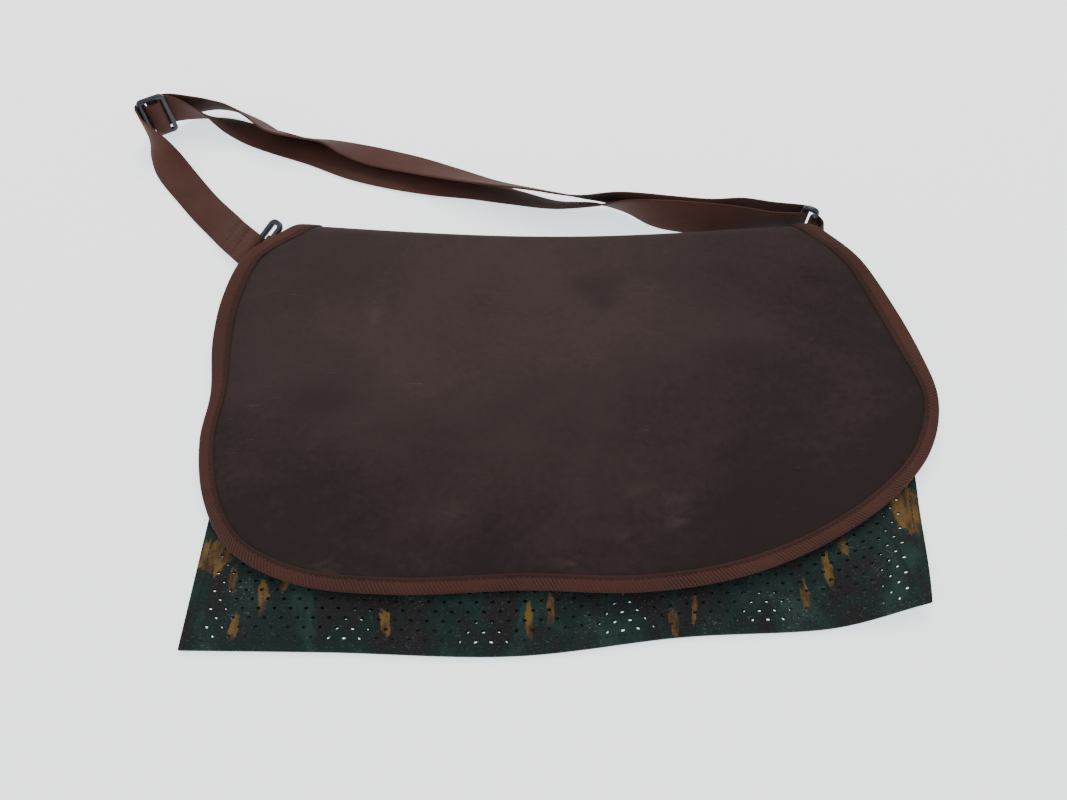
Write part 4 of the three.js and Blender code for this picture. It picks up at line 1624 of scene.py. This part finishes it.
@dataclass
class Tab:
    """A short webbing loop that holds a ring at the pouch's top corner."""

    name: str
    ring: Ring
    base: Array
    to_bar: Array
    drop: float
    width: float = 18.0
    webbing: float = 1.4
    twist: tuple = (0.35, 0.95)
    layer_gap: float = 0.3
    layer_shares: tuple = (0.0, 0.2, 0.4, 0.6, 0.8)
    bar_turn: tuple = (-90.0, 90.0, 4)
    stitch_rows: tuple = (3.0, 9.0)

    def controls(self) -> list:
        """Lower layer, turn round the ring's inner bar, and upper layer, on one cubic curve from base to bar.

        Returns:
            The loop's controls, each a place and a width.
        """
        ring = self.ring
        bar_at = ring.bar_at - ring.first * ring.spacing - ring.bar * self.drop
        flat = facing(unit(np.cross(self.to_bar, UP)), ring.bar)
        reach = np.linalg.norm(bar_at - self.base) / 3
        hull = np.stack([self.base, self.base + self.to_bar * reach, bar_at - ring.first * reach, bar_at])

        def layer(share: float, side: float) -> tuple:
            """One control of a layer, above or below the middle curve.

            Args:
                share: share of the way from base to bar.
                side: 1 above and -1 below.

            Returns:
                The control's place and width.
            """
            s, t = share, 1.0 - share
            at = np.array([t**3, 3 * t * t * s, 3 * t * s * s, s**3]) @ hull
            ahead = np.array([t * t, 2 * t * s, s * s]) @ np.diff(hull, axis=0)
            across = unit(mix(flat, ring.bar, ramp(s, *self.twist)))
            up = facing(unit(np.cross(unit(ahead), across)), UP if s < 0.5 else ring.second)
            apart = mix(self.webbing / 2 + self.layer_gap / 2, ring.wrap, s)
            return at + up * side * apart, across

        turn = ring.round_bar(bar_at, *self.bar_turn)
        lower = [layer(share, -1) for share in self.layer_shares]
        upper = [layer(share, 1) for share in self.layer_shares[::-1]]
        return lower + turn + upper


@dataclass
class Webbing:
    """A woven band along controls, each a place and the direction of its width."""

    name: str
    controls: list
    width: float
    thickness: float = 1.3
    edge_round: float = 0.46
    steps: int = 8
    stitch: Stitch = Stitch(length=2.2, radius=0.24, lift=0.08)
    stitch_inset: float = 2.0
    stitches_across: int = 8

    def frames(self) -> Frames:
        """Stations on the smooth curve through the places, turned as the widths turn.

        Returns:
            The path's frames.
        """
        places, widths = (np.array([control[k] for control in self.controls]) for k in range(2))
        share = np.linspace(0.0, 1.0, (len(places) - 1) * self.steps + 1)
        along = slopes(lambda s: spline(places, s), share)
        return Frames.of_path(spline(places, share), along, spline(widths, share, even=True))

    def build(self, material: Material, node: str) -> Frames:
        """Carries the band's section along its path.

        Args:
            material: the band's finish.
            node: the solid that it replaces.

        Returns:
            The path's frames.
        """
        frames = self.frames()
        radius = self.thickness * self.edge_round
        section = rounded_profile(self.width, self.thickness, radius, across=6, bend=3)
        dress(sweep(self.name, frames, section), material, Slot.WEBBING, node)
        return frames

    def sew(self, frames: Frames, name: str, rows: Sequence[float], thread: Material) -> None:
        """Rows of stitches across the band on both faces.

        Args:
            frames: the band's path.
            name: the stitches' name.
            rows: distances along the band.
            thread: the stitches' finish.
        """
        reach = self.width / 2 - self.stitch_inset
        across = np.linspace(-reach, reach, self.stitches_across)
        spots = frames.between(np.repeat(np.array(rows), len(across)))
        side = np.tile(across, len(rows))[:, None]
        at = np.vstack([spots.offset(side, lift) for lift in (self.thickness / 2, -self.thickness / 2)])
        along = np.vstack([spots.across, spots.across])
        normal = np.vstack([spots.through, -spots.through])
        dress(self.stitch.row(name, at, along, normal), thread, Slot.WEBBING)


@dataclass
class Strap:
    """The shoulder strap: sewn on the left ring, through the slide, round the right ring and back.

    Its ways through the slide are rows of places along the slide and toward its front. Each turn round a
    bar is two angles in degrees and a number of steps, after its radius where that is the slide's.
    """

    left: Ring
    right: Ring
    slide: Slide
    single_run: Array
    near_run: Array
    far_run: Array
    width: float = 25.0
    end_length: float = 28.0
    end_closed: float = 1.0
    end_closing: float = 17.0
    end_stations: tuple = (5.0, 11.0, 18.0)
    entry: tuple = ((-12.3, 5.0), (-12.3, 0.5), (-10.6, -3.1), (-8.2, -2.8), (-5.7, -1.8))
    left_turn: tuple = (270.0, 90.0, 4)
    right_turn: tuple = (115.0, 295.0, 6)
    outer_turn: tuple = (5.1, 150.0, 30.0, 3)
    leave: tuple = ((5.7, -1.8), (8.2, -2.8), (10.6, -2.8))
    anchor: tuple = ((10.6, -4.8), (6.0, -4.8), (3.0, -4.3))
    inner_turn: tuple = (3.1, -95.0, -350.0, 6)
    stitch_rows: tuple = (49.0, 61.0)

    def end_layer(self, distance: float, side: float) -> tuple:
        """A control of the sewn end, its two layers closing on each other away from the ring.

        Args:
            distance: distance from the ring's bar.
            side: 1 or -1 for the upper or lower layer.

        Returns:
            The control's place and width.
        """
        ring = self.left
        apart = mix(ring.wrap, self.end_closed, ramp(distance, 0.0, self.end_closing))
        return ring.strap_at + ring.first * distance + ring.second * (side * apart), ring.bar

    def controls(self) -> list:
        """The strap's whole way, with the free runs' widths turned by their tilts.

        Returns:
            The controls, each a place and a width.
        """
        slide, left, right = self.slide, self.left, self.right
        tables = (self.single_run, self.near_run, self.far_run)
        single, near, far = ([(row[:3], row[3]) for row in table] for table in tables)
        entry, leave, anchor = ([slide.at(*p) for p in way] for way in (self.entry, self.leave, self.anchor))
        parts = [self.end_layer(d, -1) for d in (*self.end_stations, self.end_length)[::-1]]
        parts += left.round_bar(left.strap_at, *self.left_turn)
        parts += [self.end_layer(d, 1) for d in self.end_stations] + single
        parts += entry + slide.round_middle(*self.outer_turn) + leave + near
        parts += right.round_bar(right.strap_at, *self.right_turn) + far
        parts += anchor + slide.round_middle(*self.inner_turn)
        return [self.turned(parts, i) for i in range(len(parts))]

    @staticmethod
    def turned(parts: list, i: int) -> tuple:
        """A control with its tilt made a width: cos of the tilt left of the heading and sin of it upward.

        Args:
            parts: all controls.
            i: the control's number.

        Returns:
            The control's place and width.
        """
        at, width = parts[i]
        if np.ndim(width) == 0:
            heading = unit((parts[i + 1][0] - parts[i - 1][0]) * [1, 1, 0])
            tilt = math.radians(width)
            width = np.cross(UP, heading) * math.cos(tilt) + UP * math.sin(tilt)
        return at, width


# Stage


@dataclass(frozen=True)
class Studio:
    """Pale floor, soft light from above and behind, and the photograph's camera."""

    camera_at: tuple = (-0.0155, -0.2372, 0.440)
    camera_tilt: float = 30.0
    focal_pixels: float = 800.0
    frame_width: float = 1067.0
    sensor: float = 36.0
    clip_start: float = 0.01
    floor_half: float = 4000.0
    floor_drop: float = 0.4
    floor_colour: tuple = (0.98, 0.76, 0.6, 1.0)
    glow_colour: tuple = (0.70, 0.89, 1.0, 1.0)
    glow_strength: float = 1.55
    sky_colour: tuple = (0.93, 0.96, 1.0, 1.0)
    sky_strength: float = 0.75

    def camera(self) -> None:
        """Places the photograph's camera."""
        lens = bpy.data.cameras.new("camera")
        lens.sensor_width = self.sensor
        lens.lens = self.sensor * self.focal_pixels / self.frame_width
        lens.clip_start = self.clip_start
        view = bpy.data.objects.new("camera", lens)
        view.location = self.camera_at
        view.rotation_euler = (math.radians(self.camera_tilt), 0.0, 0.0)
        bpy.context.scene.collection.objects.link(view)
        bpy.context.scene.camera = view

    def floor(self) -> None:
        """Lays a wide pale floor that glows a little, just under the bag."""
        signs = np.array([[-1, -1], [1, -1], [1, 1], [-1, 1]])
        corners = np.hstack([signs * self.floor_half, np.full((4, 1), -self.floor_drop)])
        floor = make_piece("floor", corners, [[0, 1, 2, 3]], smooth=False, closed=False)
        graph = Graph("pale_floor", roughness=0.9, specular=0.1)
        graph.shader.inputs["Emission Color"].default_value = self.glow_colour
        graph.shader.inputs["Emission Strength"].default_value = self.glow_strength
        floor.data.materials.append(graph.finish(self.floor_colour))

    def sky(self) -> None:
        """Sets an even pale sky."""
        world = bpy.data.worlds.new("sky")
        world.use_nodes = True
        background = world.node_tree.nodes["Background"]
        background.inputs["Color"].default_value = self.sky_colour
        background.inputs["Strength"].default_value = self.sky_strength
        bpy.context.scene.world = world

    @staticmethod
    def lamp(name: str, at: tuple, size: float, power: float) -> None:
        """A square soft lamp aimed at the bag's middle.

        Args:
            name: the lamp's name.
            at: its place in metres.
            size: its side in metres.
            power: its power in watts.
        """
        light = bpy.data.lights.new(name, "AREA")
        light.size = size
        light.energy = power
        lamp = bpy.data.objects.new(name, light)
        lamp.location = at
        back = unit(np.array(at))
        lamp.rotation_euler = (math.acos(back[2]), 0.0, math.atan2(back[0], -back[1]))
        bpy.context.scene.collection.objects.link(lamp)

    def build(self) -> None:
        """Makes the camera, the floor, the sky light and the lamps."""
        self.camera()
        self.floor()
        self.sky()
        self.lamp("key", at=(0.25, 1.5, 1.9), size=1.6, power=34.0)
        self.lamp("fill", at=(-1.6, -0.6, 1.8), size=1.8, power=12.0)


# Tables, in millimetres and degrees

POUCH_BOTTOM = np.array([  # x, y, z
    [-206, -139, 0], [-125, -140, 0], [-25, -142, 0], [65, -132, 0], [150, -127, 0], [200.5, -115.5, 0],
])

FLAP_EDGE = np.array([  # x, y, from the fold's left end round to its right end
    [-185, 136], [-209, 118], [-221, 88], [-223, 57], [-217, 17], [-217, -16], [-206, -56], [-184, -86],
    [-147, -104], [-93, -110], [-20, -108], [43, -109], [97, -101], [145, -83], [189, -56], [220, -25],
    [233, 10], [230, 43], [221, 77], [204, 112], [180, 136],
], dtype=float)

SUEDE_DENTS = np.array([  # x, y, reach along x, reach along y, height
    [-150, 40, 45, 60, -0.5], [30, 85, 22, 14, -0.7], [120, 20, 60, 35, 0.5], [-60, -40, 70, 30, 0.4],
    [60, -70, 50, 22, -0.4], [-110, 110, 40, 9, 0.4], [95, 112, 50, 8, 0.4],
])

PRINT_RUNS = np.array([  # x, y, reach along x, reach along y
    [-196, -88, 17, 15], [-183, -101, 3.4, 9], [-164, -110, 5, 14], [-153, -104, 4, 7], [-178, -127, 4.2, 12],
    [-96, -125, 4.2, 11], [-18, -125, 3.6, 12], [-6, -118, 2.6, 13], [61, -124, 3.6, 11], [72, -118, 3, 13],
    [135, -110, 3.6, 12], [149, -96, 5, 17], [160, -82, 4.4, 9], [203, -60, 16, 23],
])

SCUFFS = np.array([  # x, y, reach along x, reach along y
    [-120, 84, 11, 36], [55, 92, 22, 10], [-164, -67, 8, 20], [-132, -98, 24, 9], [-81, -94, 16, 9],
    [-62, -69, 18, 13], [67, -70, 22, 15], [40, -82, 18, 12], [6, -95, 18, 9], [54, -56, 30, 12],
], dtype=float)

DARK_MARKS = np.array([  # x, y, reach along x, reach along y
    [30, 83, 12, 15], [23, 95, 28, 16], [-150, 10, 40, 26], [120, 40, 46, 20],
], dtype=float)

SINGLE_RUN = np.array([  # x, y, z, tilt
    [-239, 159.5, 4, 168], [-256, 178, 1.6, 178], [-271, 195.5, 1.4, 180], [-286, 213, 4, 165],
    [-298, 228, 11, 128], [-307, 240, 16.4, 96],
])

NEAR_RUN = np.array([  # x, y, z, tilt
    [-283, 267.5, 14.4, 110], [-267, 265.5, 10.5, 132], [-251, 261, 5.5, 158], [-233, 254, 2.5, 172],
    [-213, 246.5, 1.6, 178], [-183, 235, 1.4, 180], [-150, 219.5, 1.4, 180], [-119, 210, 1.4, 180],
    [-89, 203, 1.8, 178], [-59, 195.5, 3.6, 170], [-30, 184.5, 6.6, 158], [0, 174.5, 9.4, 146],
    [29, 173, 11.2, 138], [50, 170, 12.4, 116], [71, 163, 12.9, 86], [88, 159, 14, 74],
    [108, 155.6, 15, 72], [130, 153.2, 16.2, 86], [150, 151.6, 16.8, 102],
])

FAR_RUN = np.array([  # x, y, z, tilt
    [150, 160, 17.2, 80], [130, 162.3, 17.4, 86], [110, 159.8, 15.4, 104], [88, 163, 14, 105],
    [65, 168, 13.6, 96], [40, 176, 14.6, 64], [15, 176.5, 16, 47], [-15, 183.5, 15.5, 44],
    [-45, 191.5, 14, 38], [-75, 203.5, 11, 26], [-105, 216, 8, 16], [-135, 226, 6.8, 13],
    [-155, 233.5, 7, 22], [-172, 240, 8.6, 38], [-192, 243, 9.6, 44], [-214, 248, 11, 46],
    [-232, 261.5, 12, 50], [-249, 271.5, 13, 54], [-265, 275.5, 13.8, 56], [-281, 273.5, 15.4, 68],
])


def build_carrying(plastic: Material, webbing: Material, thread: Material) -> None:
    """Makes the rings, the slide, the tabs and the strap.

    Args:
        plastic: finish of the rings and the slide.
        webbing: finish of the tabs and the strap.
        thread: finish of their stitches.
    """
    left = Ring("ring_left", bar_at=np.array([-208.7, 135.2, 11.5]), outward=np.array([-0.72, 0.68, -0.06]),
                up_bar=np.array([0.57, 0.72, 0.41]), length=42.0, strap_shift=-5.5)
    right = Ring("ring_right", bar_at=np.array([172.8, 154.9, 16.6]), outward=np.array([-0.88, 0.47, 0.0]),
                 up_bar=np.array([-0.25, -0.15, 0.96]), length=30.0)
    slide = Slide(centre=np.array([-304, 258.5, 17.4]), toward_ring=np.array([0.865, 0.5, 0]))
    for hardware in (left, right, slide):
        hardware.build(plastic)
    left_tab = Tab("tab_left", left, base=np.array([-179, 109, 5.4]),
                   to_bar=np.array([-0.75, 0.66, 0.0]), drop=-2.0)
    right_tab = Tab("tab_right", right, base=np.array([172, 107, 5.7]),
                    to_bar=np.array([0.0, 1.0, 0.0]), drop=2.5)
    for tab in (left_tab, right_tab):
        loop = Webbing(tab.name + "_loop", tab.controls(), tab.width)
        frames = loop.build(webbing, tab.name)
        length = length_along(frames.at)[-1]
        loop.sew(frames, tab.name + "_stitches", [length - row for row in tab.stitch_rows], thread)
    strap = Strap(left, right, slide, SINGLE_RUN, NEAR_RUN, FAR_RUN)
    band = Webbing("shoulder_strap", strap.controls(), strap.width)
    frames = band.build(webbing, "strap")
    band.sew(frames, "strap_end_stitches", strap.stitch_rows, thread)


def main() -> None:
    """Builds the bag's classes in order."""
    logging.basicConfig(level=logging.INFO, format="%(message)s")
    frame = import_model()
    LOG.info("frame: %d solids", len(frame["nodes"]))
    Studio().build()
    tape = WovenBand("bound_tape", light=srgb(77, 44, 35), dark=srgb(40, 24, 19), ridge=1.13,
                     slant=math.pi / 4, contrast=0.6, depth=0.22, rib=1.9, lip=3.0).material()
    webbing = WovenBand("strap_webbing", light=srgb(86, 50, 40), dark=srgb(58, 35, 28), ridge=1.3,
                        slant=1.05, contrast=0.25, depth=0.14).material()
    plastic = MouldedPlastic().material()
    brown = SewingThread("brown_thread", light=srgb(88, 58, 50), dark=srgb(52, 36, 32)).material()
    dark = SewingThread("dark_thread", light=srgb(46, 52, 50), dark=srgb(28, 32, 31)).material()
    pouch = Pouch(POUCH_BOTTOM)
    pouch.build(CamouflageCloth(PRINT_RUNS), dark)
    flap = Flap(pouch, np.pad(FLAP_EDGE, ((0, 0), (0, 1))), SUEDE_DENTS)
    flap.build(WornSuede(SCUFFS, DARK_MARKS), brown)
    Binding(flap).build(tape, brown)
    build_carrying(plastic, webbing, brown)


if __name__ == "__main__":
    main()
